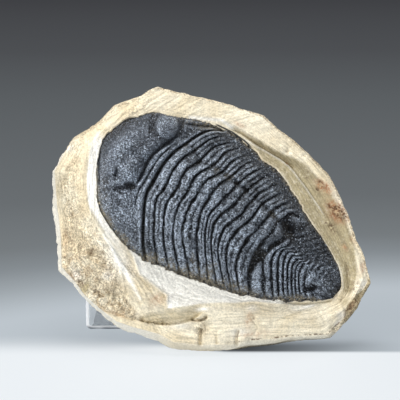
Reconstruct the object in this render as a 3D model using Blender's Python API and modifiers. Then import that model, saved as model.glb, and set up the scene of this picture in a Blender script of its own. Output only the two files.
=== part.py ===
"""A large trilobite in its carved limestone block, which leans on a clear acrylic stand.

The block and the fossil are described on the block's leaning face. There u runs to the
right, v runs up along the face and w stands out of it, all from the block's centre.
Relief is the height above the carved face, which turns a little to the right of the
block's flat back. Places on the face were read from a front picture of 400 by 400
pixels, and face_place turns them into real sizes. Every length is in metres, apart from
the tables of the face, which hold picture points in pixels and relief in millimetres.
"""

import math

import bmesh
import bpy
import numpy as np
from mathutils import Vector, noise

MM = 0.001

# Driving dimensions of the object
BLOCK_WIDTH = 0.1150
BLOCK_LEAN = math.radians(20.0)
FACE_TURN = math.tan(math.radians(11.0))
BACK_DEPTH = 0.0155
FOOT_DROP = 0.0467
FIT_GAP = 0.0003
SHEET = 0.0013

# The front picture: its centre, the block's width in it, and where it was taken from
PICTURE_CENTRE = (211.5, 218.0)
PICTURE_BLOCK_WIDTH = 319.0
PICTURE_SCALE = BLOCK_WIDTH / PICTURE_BLOCK_WIDTH
VIEW_HEIGHT = math.radians(9.0)
VIEW_DISTANCE = 0.60
VIEW_ACROSS = BLOCK_LEAN - VIEW_HEIGHT

# Guide rows across the fossil, from the far margin to the near one. Each point is the
# picture place in pixels and the relief in millimetres. The columns are the far margin,
# far flank, far furrow, crest, near furrow, bend, flank and near margin.
FAR_FURROW = 0.31
CREST = 0.44
NEAR_FURROW = 0.57
FLANK = 0.75
GUIDE_COLUMNS = (0.0, 0.17, FAR_FURROW, CREST, NEAR_FURROW, 0.66, FLANK, 1.0)
GUIDE_ROWS = {
    -3.0: ((138, 117, 4), (129, 117.5, 4), (120, 121.5, 4), (110, 130, 4),
           (101.5, 138, 4), (99.5, 146, 4), (98, 155, 3.7), (95, 165, 3.5)),
    -2.5: ((152, 112.5, 6), (143, 122, 12), (134, 131, 16), (122, 140, 18),
           (112, 151, 16.5), (107, 163, 13), (100.5, 174, 8), (94.5, 182, 3.5)),
    -2.0: ((172, 116, 8), (164, 128, 16), (152, 138, 19), (138, 149, 20.5),
           (127, 163, 19), (119, 178, 16), (108, 190, 11), (97, 200, 3.5)),
    -1.0: ((202, 121, 7), (185, 130, 13), (170, 141, 16.5), (156, 150.5, 18.5),
           (145, 167, 17.5), (137.5, 184, 16), (131, 213, 12.5), (120, 240, 3.5)),
    0.0: ((226, 131, 5), (206, 131.5, 11.5), (186, 143, 16), (168, 157.5, 19),
          (154, 179, 17), (145.5, 196, 15.5), (142.8, 225, 12), (147, 260, 3)),
    1.0: ((234, 135, 5), (211, 139, 11.7), (194, 151, 16.4), (177, 163.5, 19.8),
          (164.5, 187, 17.6), (156, 200, 16.3), (153.6, 224, 13), (157, 264.5, 3)),
    2.0: ((242, 141, 5), (215, 147, 11.9), (199, 161, 16.8), (185, 171, 20.5),
          (174, 192, 18.2), (166, 204, 17.1), (163, 224, 13.9), (168.5, 270, 3)),
    3.0: ((249, 146, 5), (227, 152, 12), (212, 166, 17), (196, 175, 21),
          (184.5, 195, 18.5), (177, 207.5, 17.5), (173, 225, 14.5), (180, 274, 3)),
    4.0: ((256, 152, 5), (234, 160, 12), (221, 172.5, 17), (206, 180, 21),
          (194, 198, 18.6), (187, 210, 17.6), (182.6, 227, 14.6), (190.5, 277, 3)),
    5.0: ((262, 158, 5), (243, 166, 12), (229, 177.5, 17), (216, 187, 21),
          (206, 202, 18.6), (200, 214, 17.6), (197, 228, 14.6), (200.5, 280, 3)),
    6.0: ((268, 165, 5), (252, 173, 12), (238, 184, 17), (226, 196, 21),
          (213, 209, 18.5), (208, 217, 17.5), (205, 232, 14.5), (209, 283, 3)),
    7.0: ((275, 173, 5), (258, 181, 11.9), (246, 191, 16.8), (233, 204.5, 20.8),
          (221, 214.5, 18.2), (214, 222, 17.2), (211, 237, 14), (217, 285.5, 3)),
    8.0: ((283, 182, 5), (266, 189, 11.7), (254, 198, 16.5), (241, 213, 20.5),
          (229, 223, 17.7), (223, 229, 16.7), (218.5, 243, 13.3), (225, 288, 3)),
    9.0: ((289, 192, 5), (273, 197, 11.5), (262, 204, 16), (249, 220, 20),
          (237, 230, 17), (230, 238, 16), (226, 250, 12.5), (232, 290.5, 3)),
    10.0: ((296, 202, 5), (282, 205, 11), (270, 213, 15.2), (257, 228.5, 19),
           (247.5, 238, 15.9), (241, 248, 14.6), (236.5, 260, 11.6), (240, 293, 3)),
    11.0: ((304, 214, 5), (290, 214, 10.5), (278, 222, 14), (268, 235, 17.5),
           (261, 243, 14.5), (254, 254, 13), (250, 268, 10.5), (249, 295.5, 3)),
    12.0: ((312, 224, 4.5), (300, 228, 9.5), (290, 233, 12), (281, 241, 14.5),
           (269, 250, 13.5), (263, 260, 12.5), (263, 276, 9.5), (264, 299, 3)),
    14.0: ((321, 236, 4), (310, 240, 8.5), (299, 243, 11), (291, 248.5, 13),
           (282, 250, 12.5), (278, 260, 11), (277.5, 277, 8.5), (279, 300.5, 3)),
    17.0: ((330, 250, 4), (320, 254, 7), (309, 256, 9.5), (302.5, 259, 11),
           (296, 260, 10.5), (292, 267, 9.5), (291.5, 279, 7.5), (293, 301, 3)),
    20.0: ((335, 260.5, 3.5), (328, 264, 6), (319, 266.5, 8), (313, 269, 9.3),
           (308.5, 271, 8.8), (305, 277, 7.8), (304.5, 285, 6), (307, 300.5, 3)),
    21.0: ((337.5, 266, 3.5), (332, 271, 5), (326, 275, 6.2), (321, 279, 7),
           (317, 282, 6.8), (314, 286, 6), (313.5, 291, 5), (315, 300, 3)),
    22.0: ((340, 272, 3.2), (341, 281, 3.2), (340.7, 286, 3), (339, 291, 3),
           (336, 294.5, 3), (332, 298, 3), (326, 299.3, 3), (321, 299.5, 3)),
}
HEAD_START, THORAX_START, TAIL_START, TAIL_END = -3.0, 0.0, 11.0, 22.0
LAST_TAIL_RIB = 20.5

# Heights and depths of the fossil's own relief, in millimetres, and how wide some of it
# is as a share of a segment
RING_HEIGHT = 1.7
RING_TOP = 0.56
RING_RISE = 0.8
RING_FALL = 1.5
PLEURA_HEIGHT = 1.2
SECOND_RIB_START = 0.52
SECOND_RIB_HEIGHT = 0.88
JOINED_RIBS = 0.45
TAIL_RIB_HEIGHT = 1.1
TAIL_RIB_SHRINK = 0.55
TAIL_RIB_FAR = 0.12
SEGMENT_GROOVE = 1.1
GROOVE_WIDTH = 0.14
HEAD_GROOVE = 2.6
HEAD_GROOVE_WIDTH = 0.17
OCCIPITAL_RIDGES = ((-0.74, 0.16, 0.9), (-0.34, 0.20, 0.9))
FLANK_BULGE = 1.3

# Hollows and swellings: picture place, half length and half width in pixels, turn in
# degrees anticlockwise in the picture, and height in millimetres. The eyes come first.
FOSSIL_LUMPS = (
    (126.5, 171.5, 14, 9, -8, 3.0),
    (167.5, 127, 10.5, 10, 0, 3.4),
    (116, 171, 6, 2.2, 83, -1.2),
    (128, 184.5, 6.5, 3.5, 8, -2.6),
    (141.5, 174, 4, 2.5, 60, -1.4),
    (152, 128, 4, 3, 60, -1.5),
    (181, 127, 9, 3, 65, -2.0),
    (259, 257, 14, 5, 58, -3.4),
    (287.5, 229, 9, 3.4, -68, -2.8),
    (277.5, 243, 5, 2.4, 40, -1.8),
    (310, 289, 9, 3.4, 12, -1.4),
)

# Where the fossil's underside and the pocket for it lie below the carved face
FOSSIL_SEAT = -0.0015
POCKET_CLEARANCE = 0.0009

# The block's outline in the picture, clockwise from its top
BLOCK_OUTLINE = (
    (158, 88), (186, 94.5), (230, 104.5), (264, 116), (278, 129), (293, 140), (310, 155),
    (330, 176), (339, 194), (349.5, 217), (357, 240), (366, 258), (371, 283), (357, 309),
    (347, 321), (331, 337), (293, 339), (275, 342), (250, 345), (232, 349), (200, 349),
    (172, 348), (158, 341), (133, 334), (115, 327), (99.5, 312.5), (84, 298.5), (75, 286),
    (59, 270), (56.5, 242), (53, 209), (52, 173.5), (60, 158), (70, 141.5), (99.5, 124),
    (115, 107), (140, 97), (149, 90),
)

# How the rim runs, by direction from the block's centre in degrees anticlockwise from
# the right: the relief beside the fossil, the share of the way from there to the front
# edge at which the channel's floor lies and its relief, the same two for the crest, the
# front edge's relief, how far the front edge lies inside the outline, the outline's own
# w, and how far the back edge lies inside it. Lengths are millimetres.
RIM_SECTIONS = (
    (0, 4.4, 0.50, 3.6, 0.86, 6.2, 5.8, 1.2, -4.0, 3.0),
    (30, 4.8, 0.42, 4.5, 0.74, 7.6, 7.6, 1.2, -2.0, 3.0),
    (60, 5.2, 0.17, 4.9, 0.36, 7.3, 8.0, 1.2, 2.0, 3.0),
    (90, 5.4, 0.12, 5.6, 0.32, 6.6, 6.8, 1.2, 4.0, 3.5),
    (120, 6.2, 0.12, 6.3, 0.24, 6.6, 5.8, 1.4, 3.0, 4.0),
    (150, 4.6, 0.18, 4.9, 0.34, 5.4, 1.5, 1.6, 0.0, 3.0),
    (180, 3.9, 0.14, 4.4, 0.26, 5.2, -8.5, 2.4, -4.0, 2.0),
    (210, 3.3, 0.15, 3.8, 0.30, 5.0, -7.5, 2.2, -4.0, 2.5),
    (240, 2.6, 0.30, 3.2, 0.46, 4.4, -1.5, 2.2, -8.5, 1.5),
    (270, 2.4, 0.25, 3.0, 0.42, 4.3, 2.0, 2.4, -12.5, 0.0),
    (300, 2.6, 0.20, 3.0, 0.50, 3.8, 2.5, 2.6, -11.5, 1.0),
    (330, 3.0, 0.36, 2.8, 0.80, 5.2, 4.4, 2.0, -7.0, 3.0),
)

# Between these directions the front edge is cut straight, elsewhere it is rounded
STRAIGHT_FROM = (140.0, 165.0)
STRAIGHT_TO = (235.0, 255.0)

# The scoop along the block's foot: its upper edge in the picture, its greatest width in
# pixels and its depth in millimetres. Its lower side is the steeper one.
SCOOP_TOP = ((137, 318), (143, 314.8), (150, 311.8), (157, 310.2), (166, 308.7), (176, 307.8),
             (187, 306.6), (197, 304.5), (208, 303.2))
SCOOP_WIDTH = 14.0
SCOOP_DEPTH = 3.0
SCOOP_STEEP_PART = (0.80, 1.45)
SCOOP_ENDS = 0.14
GROOVE_LINE = ((229, 127), (244, 133), (259, 143), (272, 153), (285, 160), (300, 173))
GROOVE_DEPTH = 0.9
GROOVE_REACH = 3.0
STONE_ROUGHNESS = 0.40
STONE_GRAIN = 4.5
STONE_OCTAVES = (0.8, 2.0, 3)
STONE_SLICE = 3.1

# The stand: one sheet bent up at both ends, so that it has a floor and two upright sides
# whose front corners the block's back leans on. Its front lies this far behind the
# block's centre.
STAND_LEFT = -0.0473
STAND_RIGHT = 0.0335
STAND_FRONT = 0.0238
STAND_DEPTH = 0.0360
STAND_BEND = 0.0014
BEND_STEPS = 6

# How finely the solids are faceted
SEGMENT_STEPS = 6
TAIL_STEPS = 4
HEAD_ROWS = (-3.0, -2.93, -2.84, -2.72, -2.58, -2.42, -2.24, -2.05, -1.85, -1.65, -1.45, -1.25,
             -1.0, -0.86, -0.72, -0.6, -0.5, -0.38, -0.27, -0.15)
TIP_ROWS = (21.0, 21.35, 21.7, 21.9, 22.0)
COLUMNS = (0.0, 0.04, 0.1, 0.17, 0.24, 0.31, 0.36, 0.44, 0.51, 0.57, 0.615, 0.66, 0.705, 0.75,
           0.81, 0.87, 0.93, 0.97, 1.0)
SPOKES = 96
FACE_RINGS = (0.0, 0.07, 0.14, 0.21, 0.28, 0.36, 0.45, 0.55, 0.66, 0.77, 0.88, 1.0)


def clear_scene():
    """Removes the objects that are in the scene."""
    for thing in list(bpy.data.objects):
        bpy.data.objects.remove(thing, do_unlink=True)


def make_material(name, colour, roughness, transmission=0.0, ior=1.5):
    """Makes a plain Principled material."""
    material = bpy.data.materials.new(name)
    material.use_nodes = True
    shader = material.node_tree.nodes["Principled BSDF"]
    shader.inputs["Base Color"].default_value = (*colour, 1.0)
    shader.inputs["Roughness"].default_value = roughness
    shader.inputs["Transmission Weight"].default_value = transmission
    shader.inputs["IOR"].default_value = ior
    return material


def smooth_through(keys, values, places):
    """Reads a smooth curve that passes through values at keys, at each of places."""
    keys = np.asarray(keys, dtype=float)
    values = np.asarray(values, dtype=float)
    places = np.asarray(places, dtype=float)
    slopes = np.gradient(values, keys, axis=0)
    index = np.clip(np.searchsorted(keys, places, side="right") - 1, 0, len(keys) - 2)
    widths = keys[index + 1] - keys[index]
    share = (places - keys[index]) / widths
    shape = (len(places),) + (1,) * (values.ndim - 1)
    share = share.reshape(shape)
    widths = widths.reshape(shape)
    start = (1.0 + 2.0 * share) * (1.0 - share) ** 2
    leave = share * (1.0 - share) ** 2
    finish = share ** 2 * (3.0 - 2.0 * share)
    arrive = share ** 2 * (share - 1.0)
    return (start * values[index] + leave * widths * slopes[index]
            + finish * values[index + 1] + arrive * widths * slopes[index + 1])


def bell(distance):
    """A smooth bump that is 1 at no distance and fades out past a distance of 1."""
    return np.exp(-np.square(distance) * 1.6)


def step_between(low, high, value):
    """Rises smoothly from 0 at low to 1 at high."""
    share = np.clip((value - low) / (high - low), 0.0, 1.0)
    return share * share * (3.0 - 2.0 * share)


def face_place(picture_x, picture_y, w):
    """Turns picture places with a known w into u and v on the block's face."""
    across = (np.asarray(picture_x, dtype=float) - PICTURE_CENTRE[0]) * PICTURE_SCALE
    upward = (PICTURE_CENTRE[1] - np.asarray(picture_y, dtype=float)) * PICTURE_SCALE
    u = across
    v = upward
    for _ in range(4):
        nearer = w * math.cos(VIEW_ACROSS) - v * math.sin(VIEW_ACROSS)
        shrink = 1.0 - nearer / VIEW_DISTANCE
        u = across * shrink
        v = (upward * shrink - w * math.sin(VIEW_ACROSS)) / math.cos(VIEW_ACROSS)
    return u, v


def place_relief(picture_x, picture_y, relief):
    """Gives u, v and w of picture places that stand at a relief above the turned face."""
    w = np.asarray(relief, dtype=float)
    u, v = face_place(picture_x, picture_y, w)
    for _ in range(4):
        w = relief - FACE_TURN * u
        u, v = face_place(picture_x, picture_y, w)
    return u, v, w


def lump_relief(picture_x, picture_y):
    """Adds up the fossil's hollows and swellings at picture places, in millimetres."""
    total = np.zeros_like(picture_x)
    for centre_x, centre_y, half_length, half_width, turn, height in FOSSIL_LUMPS:
        along = math.cos(math.radians(turn))
        aside = math.sin(math.radians(turn))
        step_x = picture_x - centre_x
        step_y = centre_y - picture_y
        length_share = (step_x * along + step_y * aside) / half_length
        width_share = (step_y * along - step_x * aside) / half_width
        total += height * bell(np.hypot(length_share, width_share))
    return total


def axial_share(columns):
    """How far each column belongs to the raised axis, from 0 to 1."""
    far_side = step_between(FAR_FURROW - 0.02, FAR_FURROW + 0.03, columns)
    near_side = step_between(NEAR_FURROW + 0.03, NEAR_FURROW - 0.03, columns)
    return far_side * near_side


def margin_fade(columns):
    """Lets relief run out at both margins."""
    return step_between(0.0, 0.1, columns) * step_between(1.0, 0.93, columns)


def rib_fade(columns):
    """Lets ribs run out before the margins, further in on the far side."""
    return step_between(0.02, 0.15, columns) * step_between(1.0, 0.93, columns)


def ring_section(part):
    """A ring's section over a segment: a long rise and a steeper fall behind it."""
    rise = np.sin(0.5 * math.pi * np.clip(part / RING_TOP, 0.0, 1.0) ** RING_RISE)
    fall = np.cos(0.5 * math.pi * np.clip((part - RING_TOP) / (1.0 - RING_TOP), 0.0, 1.0) ** RING_FALL)
    return np.minimum(rise, fall)


def thorax_relief(rows, columns):
    """Rings on the axis, and two ribs for each segment beside it, in millimetres."""
    part = rows - np.floor(rows)
    first = np.sin(math.pi * np.clip(part / SECOND_RIB_START, 0.0, 1.0))
    second_part = (part - SECOND_RIB_START) / (1.0 - SECOND_RIB_START)
    second = SECOND_RIB_HEIGHT * np.sin(math.pi * np.clip(second_part, 0.0, 1.0))
    ribs = JOINED_RIBS * np.sin(math.pi * part) + (1.0 - JOINED_RIBS) * np.maximum(first, second)
    groove = bell(np.minimum(part, 1.0 - part) / GROOVE_WIDTH)
    axis = axial_share(columns)
    beside = PLEURA_HEIGHT * ribs - SEGMENT_GROOVE * groove
    ring = RING_HEIGHT * ring_section(part) - SEGMENT_GROOVE * groove
    return (axis * ring + (1.0 - axis) * beside) * rib_fade(columns)


def tail_relief(rows, columns):
    """Single ribs that shrink towards the end of the tail, in millimetres."""
    shrink = 1.0 - TAIL_RIB_SHRINK * step_between(12.0, LAST_TAIL_RIB, rows)
    near_side = TAIL_RIB_FAR + (1.0 - TAIL_RIB_FAR) * step_between(CREST - 0.06, NEAR_FURROW, columns)
    return TAIL_RIB_HEIGHT * shrink * ring_section(rows - np.floor(rows)) * near_side * margin_fade(columns)


def head_relief(rows, columns):
    """The two ridges of the head's rear border, in millimetres."""
    ridges = [height * bell((rows - middle) / width) for middle, width, height in OCCIPITAL_RIDGES]
    return sum(ridges) * margin_fade(columns)


def fossil_surface(rows, columns):
    """Gives the fossil's upper surface as u, v and w over a grid of rows and columns."""
    keys = list(GUIDE_ROWS)
    guides = smooth_through(keys, [GUIDE_ROWS[key] for key in keys], rows)
    grid = smooth_through(GUIDE_COLUMNS, np.swapaxes(guides, 0, 1), columns)
    grid = np.swapaxes(grid, 0, 1)
    picture_x, picture_y, relief = grid[..., 0], grid[..., 1], grid[..., 2]
    row_grid, column_grid = np.meshgrid(rows, columns, indexing="ij")
    in_thorax = step_between(-0.05, 0.05, row_grid) * step_between(11.05, 10.95, row_grid)
    in_tail = step_between(11.0, 11.4, row_grid)
    in_tail = in_tail * step_between(LAST_TAIL_RIB + 0.3, LAST_TAIL_RIB, row_grid)
    in_head = step_between(0.02, -0.1, row_grid)
    relief = relief + in_thorax * thorax_relief(row_grid, column_grid)
    relief = relief + in_tail * tail_relief(row_grid, column_grid)
    relief = relief + in_head * head_relief(row_grid, column_grid)
    inside = margin_fade(column_grid) * step_between(HEAD_START, -2.8, row_grid)
    inside = inside * step_between(TAIL_END, 21.6, row_grid)
    relief = relief - HEAD_GROOVE * bell(row_grid / HEAD_GROOVE_WIDTH) * inside
    flank = np.clip((column_grid - FLANK) / (1.0 - FLANK), 0.0, 1.0)
    relief = relief + FLANK_BULGE * np.sin(math.pi * flank) * inside
    relief = relief + lump_relief(picture_x, picture_y) * inside
    return np.stack(place_relief(picture_x, picture_y, relief * MM), axis=-1)


def fossil_rows():
    """The rows of the faceted fossil, close enough to follow each ring and rib."""
    thorax = np.arange(THORAX_START, TAIL_START, 1.0 / SEGMENT_STEPS)
    tail = np.arange(TAIL_START, TIP_ROWS[0], 1.0 / TAIL_STEPS)
    return np.concatenate([HEAD_ROWS, thorax, tail, TIP_ROWS])


def fossil_boundary(surface):
    """The grid's edge as one loop of places, and their places in the grid."""
    last_row = surface.shape[0] - 1
    last_column = surface.shape[1] - 1
    loop = [(row, 0) for row in range(last_row)]
    loop += [(last_row, column) for column in range(last_column)]
    loop += [(row, last_column) for row in range(last_row, 0, -1)]
    loop += [(0, column) for column in range(last_column, 0, -1)]
    return loop


def under_level(u):
    """The w of the fossil's flat underside at each u."""
    return FOSSIL_SEAT - FACE_TURN * u


def make_object(name, builder, material, collection, parent):
    """Turns a bmesh into a named object under its parent, with its normals outward."""
    bmesh.ops.recalc_face_normals(builder, faces=builder.faces)
    mesh = bpy.data.meshes.new(name)
    builder.to_mesh(mesh)
    builder.free()
    mesh.materials.append(material)
    piece = bpy.data.objects.new(name, mesh)
    collection.objects.link(piece)
    piece.parent = parent
    return piece


def build_trilobite(collection, parent, surface):
    """The fossil: a loft through its rows, closed by a rim and a flat underside."""
    material = make_material("fossil", (0.028, 0.032, 0.038), 0.45)
    builder = bmesh.new()
    rows, columns = surface.shape[:2]
    top = [[builder.verts.new(surface[row, column]) for column in range(columns)] for row in range(rows)]
    for row in range(rows - 1):
        for column in range(columns - 1):
            corners = (top[row][column], top[row + 1][column], top[row + 1][column + 1], top[row][column + 1])
            builder.faces.new(corners)
    loop = fossil_boundary(surface)
    upper = [top[row][column] for row, column in loop]
    lower = [builder.verts.new((vertex.co.x, vertex.co.y, under_level(vertex.co.x))) for vertex in upper]
    for index, vertex in enumerate(upper):
        following = (index + 1) % len(upper)
        builder.faces.new((vertex, upper[following], lower[following], lower[index]))
    builder.faces.new(lower)
    return make_object("trilobite", builder, material, collection, parent)


def periodic(directions, values, angle):
    """Reads a smooth closed curve through values at directions in degrees."""
    turns = np.concatenate([np.array(directions) - 360.0, directions, np.array(directions) + 360.0])
    return smooth_through(turns, np.tile(values, 3), np.mod(angle, 360.0))


def radius_at(places, angle):
    """How far a closed outline lies from the centre in each direction, in radians."""
    directions = np.arctan2(places[:, 1], places[:, 0])
    order = np.argsort(directions)
    radii = np.hypot(places[:, 0], places[:, 1])
    return np.interp(angle, directions[order], radii[order], period=2.0 * math.pi)


def spoke_angles(outline):
    """Directions that divide the outline into equal lengths."""
    closed = np.vstack([outline, outline[:1]])
    lengths = np.concatenate([[0.0], np.cumsum(np.hypot(*np.diff(closed, axis=0).T))])
    targets = np.linspace(0.0, lengths[-1], SPOKES, endpoint=False)
    along_u = np.interp(targets, lengths, closed[:, 0])
    along_v = np.interp(targets, lengths, closed[:, 1])
    return np.arctan2(along_v, along_u)


def line_distance(picture_x, picture_y, line):
    """Signed distance to a picture line, positive below it, and the share along it."""
    points = np.array(line, dtype=float)
    steps = np.diff(points, axis=0)
    lengths = np.hypot(*steps.T)
    starts = np.concatenate([[0.0], np.cumsum(lengths)])
    best = np.full_like(picture_x, np.inf)
    along = np.zeros_like(picture_x)
    for index, step in enumerate(steps):
        from_x = picture_x - points[index, 0]
        from_y = picture_y - points[index, 1]
        share = np.clip((from_x * step[0] + from_y * step[1]) / lengths[index] ** 2, 0.0, 1.0)
        away = np.hypot(from_x - share * step[0], from_y - share * step[1])
        side = np.where(from_y * step[0] - from_x * step[1] >= 0.0, 1.0, -1.0)
        nearer = away < np.abs(best)
        best = np.where(nearer, side * away, best)
        along = np.where(nearer, (starts[index] + share * lengths[index]) / starts[-1], along)
    return best, along


def picture_place(u, v, w):
    """Turns places on the face into picture places, in pixels."""
    nearer = w * math.cos(VIEW_ACROSS) - v * math.sin(VIEW_ACROSS)
    grow = VIEW_DISTANCE / (VIEW_DISTANCE - nearer)
    across = u * grow
    upward = (v * math.cos(VIEW_ACROSS) + w * math.sin(VIEW_ACROSS)) * grow
    return PICTURE_CENTRE[0] + across / PICTURE_SCALE, PICTURE_CENTRE[1] - upward / PICTURE_SCALE


def stone_noise(u, v, size):
    """Even, repeatable unevenness between -1 and 1."""
    places = zip(u.ravel() / size, v.ravel() / size)
    values = [noise.fractal(Vector((*place, STONE_SLICE)), *STONE_OCTAVES) for place in places]
    return np.array(values).reshape(u.shape)


def rim_profile(share, section):
    """The rim's relief in millimetres: channel floor, crest and front edge."""
    near, floor_share, floor, crest_share, crest, edge = section[:6]
    first = near + (floor - near) * step_between(0.0, 1.0, share / floor_share)
    to_crest = (share - floor_share) / (crest_share - floor_share)
    second = floor + (crest - floor) * step_between(0.0, 1.0, to_crest)
    third = crest + (edge - crest) * np.clip((share - crest_share) / (1.0 - crest_share), 0.0, 1.0)
    return np.where(share < floor_share, first, np.where(share < crest_share, second, third))


def scoop_relief(picture_x, picture_y):
    """The depth of the scoop, greatest near its lower edge, in millimetres."""
    away, along = line_distance(picture_x, picture_y, SCOOP_TOP)
    width = 1.0 + SCOOP_WIDTH * np.sin(math.pi * along)
    share = np.maximum(away / width, 0.0)
    ramp = np.minimum(share, 1.0) * step_between(SCOOP_STEEP_PART[1], SCOOP_STEEP_PART[0], share)
    ends = step_between(0.0, SCOOP_ENDS, along) * step_between(1.0, 1.0 - SCOOP_ENDS, along)
    return SCOOP_DEPTH * ramp * ends


def face_relief(share, section, u, v):
    """The carved face's relief in metres, from the fossil's edge to the front edge."""
    relief = rim_profile(share, section)
    picture_x, picture_y = picture_place(u, v, relief * MM - FACE_TURN * u)
    relief = relief - scoop_relief(picture_x, picture_y)
    groove_away, _ = line_distance(picture_x, picture_y, GROOVE_LINE)
    relief = relief - GROOVE_DEPTH * bell(groove_away / GROOVE_REACH)
    rough = step_between(0.1, 0.5, share) * STONE_ROUGHNESS * stone_noise(u, v, STONE_GRAIN * MM)
    return (relief + rough) * MM


def block_outline():
    """The block's outline as u and v, each point at the w that the rim gives it."""
    points = np.array(BLOCK_OUTLINE)
    sections = np.array(RIM_SECTIONS)
    angle = np.degrees(np.arctan2(PICTURE_CENTRE[1] - points[:, 1], points[:, 0] - PICTURE_CENTRE[0]))
    depth = periodic(sections[:, 0], sections[:, 8], angle) * MM
    u, v = face_place(points[:, 0], points[:, 1], depth)
    return np.column_stack([u, v])


def rest_on_floor(places):
    """Flattens what would reach below the floor that the block stands on."""
    height = places[:, 1] * math.cos(BLOCK_LEAN) + places[:, 2] * math.sin(BLOCK_LEAN)
    lift = np.maximum(-FOOT_DROP - height, 0.0)
    places[:, 1] += lift * math.cos(BLOCK_LEAN)
    places[:, 2] += lift * math.sin(BLOCK_LEAN)
    return places


def ring_at(angle, radius, w):
    """One ring of places round the block's centre."""
    return np.column_stack([radius * np.cos(angle), radius * np.sin(angle), w])


def block_rings(surface):
    """Rings from the pocket's floor over the carved face and round to the back."""
    outline = block_outline()
    angle = np.sort(spoke_angles(outline))
    outer = radius_at(outline, angle)
    fossil_edge = np.array([surface[row, column, :2] for row, column in fossil_boundary(surface)])
    inner = radius_at(fossil_edge, angle) + POCKET_CLEARANCE
    sections = np.array(RIM_SECTIONS)
    degrees = np.degrees(angle)
    section = [periodic(sections[:, 0], values, degrees) for values in sections[:, 1:].T]
    inset, outline_w, back_inset = section[6:]
    front = outer - inset * MM
    back = outer - back_inset * MM
    floor_w = under_level(inner * np.cos(angle)) - FIT_GAP
    rings = [ring_at(angle, inner, floor_w)]
    for share in FACE_RINGS:
        radius = inner + (front - inner) * share
        u = radius * np.cos(angle)
        v = radius * np.sin(angle)
        relief = face_relief(np.full_like(radius, share), section, u, v)
        rings.append(ring_at(angle, radius, relief - FACE_TURN * u))
    middle = ring_at(angle, outer, outline_w * MM)
    rear = ring_at(angle, back, np.full_like(back, -BACK_DEPTH))
    rings += [rounding(rings[-1], middle, angle, True), middle, rounding(middle, rear, angle, False), rear]
    return [rest_on_floor(ring) for ring in rings]


def rounding(first, last, angle, outward):
    """The ring halfway round the edge between two others, or halfway where it is straight."""
    degrees = np.mod(np.degrees(angle), 360.0)
    straight = step_between(*STRAIGHT_FROM, degrees) * step_between(*reversed(STRAIGHT_TO), degrees)
    soon = math.sin(math.pi / 4.0) * (1.0 - straight) + 0.5 * straight
    late = (1.0 - math.cos(math.pi / 4.0)) * (1.0 - straight) + 0.5 * straight
    across, deep = (soon, late) if outward else (late, soon)
    shares = np.column_stack([across, across, deep])
    return first + (last - first) * shares


def build_matrix(collection, parent, surface):
    """The limestone block, with a pocket for the fossil and a flat back."""
    material = make_material("limestone", (0.72, 0.63, 0.46), 0.85)
    builder = bmesh.new()
    rings = [[builder.verts.new(place) for place in ring] for ring in block_rings(surface)]
    for inner, outer in zip(rings, rings[1:]):
        for index, vertex in enumerate(inner):
            following = (index + 1) % len(inner)
            builder.faces.new((vertex, outer[index], outer[following], inner[following]))
    builder.faces.new(rings[0])
    builder.faces.new(rings[-1])
    return make_object("matrix", builder, material, collection, parent)


def stand_height():
    """How high the sides stand: up to where the block's back passes their front."""
    behind = STAND_FRONT - (BACK_DEPTH + FIT_GAP) / math.cos(BLOCK_LEAN)
    return FOOT_DROP + behind / math.tan(BLOCK_LEAN)


def stand_path():
    """The sheet's middle line from the left side's top to the right side's, as x and z."""
    left = STAND_LEFT + SHEET / 2.0
    right = STAND_RIGHT - SHEET / 2.0
    low = SHEET / 2.0
    path = [(left, stand_height())]
    for step in range(BEND_STEPS + 1):
        turn = math.pi / 2.0 * step / BEND_STEPS
        path.append((left + STAND_BEND * (1.0 - math.cos(turn)), low + STAND_BEND * (1.0 - math.sin(turn))))
    for step in range(BEND_STEPS + 1):
        turn = math.pi / 2.0 * step / BEND_STEPS
        path.append((right - STAND_BEND * (1.0 - math.sin(turn)), low + STAND_BEND * (1.0 - math.cos(turn))))
    path.append((right, stand_height()))
    return path


def build_stand(collection, parent):
    """The clear stand: one sheet with a floor and two upright sides."""
    material = make_material("acrylic", (0.95, 0.97, 1.0), 0.03, transmission=1.0, ior=1.49)
    builder = bmesh.new()
    rear = STAND_FRONT + STAND_DEPTH
    pairs = []
    for x, z in stand_path():
        pairs.append((builder.verts.new((x, STAND_FRONT, z)), builder.verts.new((x, rear, z))))
    for lower, upper in zip(pairs, pairs[1:]):
        builder.faces.new((lower[0], lower[1], upper[1], upper[0]))
    piece = make_object("stand", builder, material, collection, parent)
    wall = piece.modifiers.new("Sheet", "SOLIDIFY")
    wall.thickness = SHEET
    wall.offset = 0.0
    wall.use_even_offset = True
    return piece


def add_empty(name, collection, parent=None):
    """Adds an empty that carries pieces."""
    empty = bpy.data.objects.new(name, None)
    collection.objects.link(empty)
    empty.parent = parent
    return empty


def centre_on_floor(carrier, pieces):
    """Moves the carrier so that the middle of all pieces stands over the origin."""
    bpy.context.view_layer.update()
    graph = bpy.context.evaluated_depsgraph_get()
    corners = []
    for piece in pieces:
        solid = piece.evaluated_get(graph)
        corners += [solid.matrix_world @ vertex.co for vertex in solid.data.vertices]
    for axis in (0, 1):
        reach = [corner[axis] for corner in corners]
        carrier.location[axis] = -(min(reach) + max(reach)) / 2.0
    bpy.context.view_layer.update()


def main():
    """Builds the block, the fossil and the stand."""
    clear_scene()
    collection = bpy.data.collections.new("metacanthina_trilobite")
    bpy.context.scene.collection.children.link(collection)
    carrier = add_empty("carrier", collection)
    leaning = add_empty("leaning", collection, carrier)
    leaning.location.z = FOOT_DROP
    leaning.rotation_euler.x = math.radians(90.0) - BLOCK_LEAN
    surface = fossil_surface(fossil_rows(), np.array(COLUMNS))
    pieces = [
        build_matrix(collection, leaning, surface),
        build_trilobite(collection, leaning, surface),
        build_stand(collection, carrier),
    ]
    centre_on_floor(carrier, pieces)


main()
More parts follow.
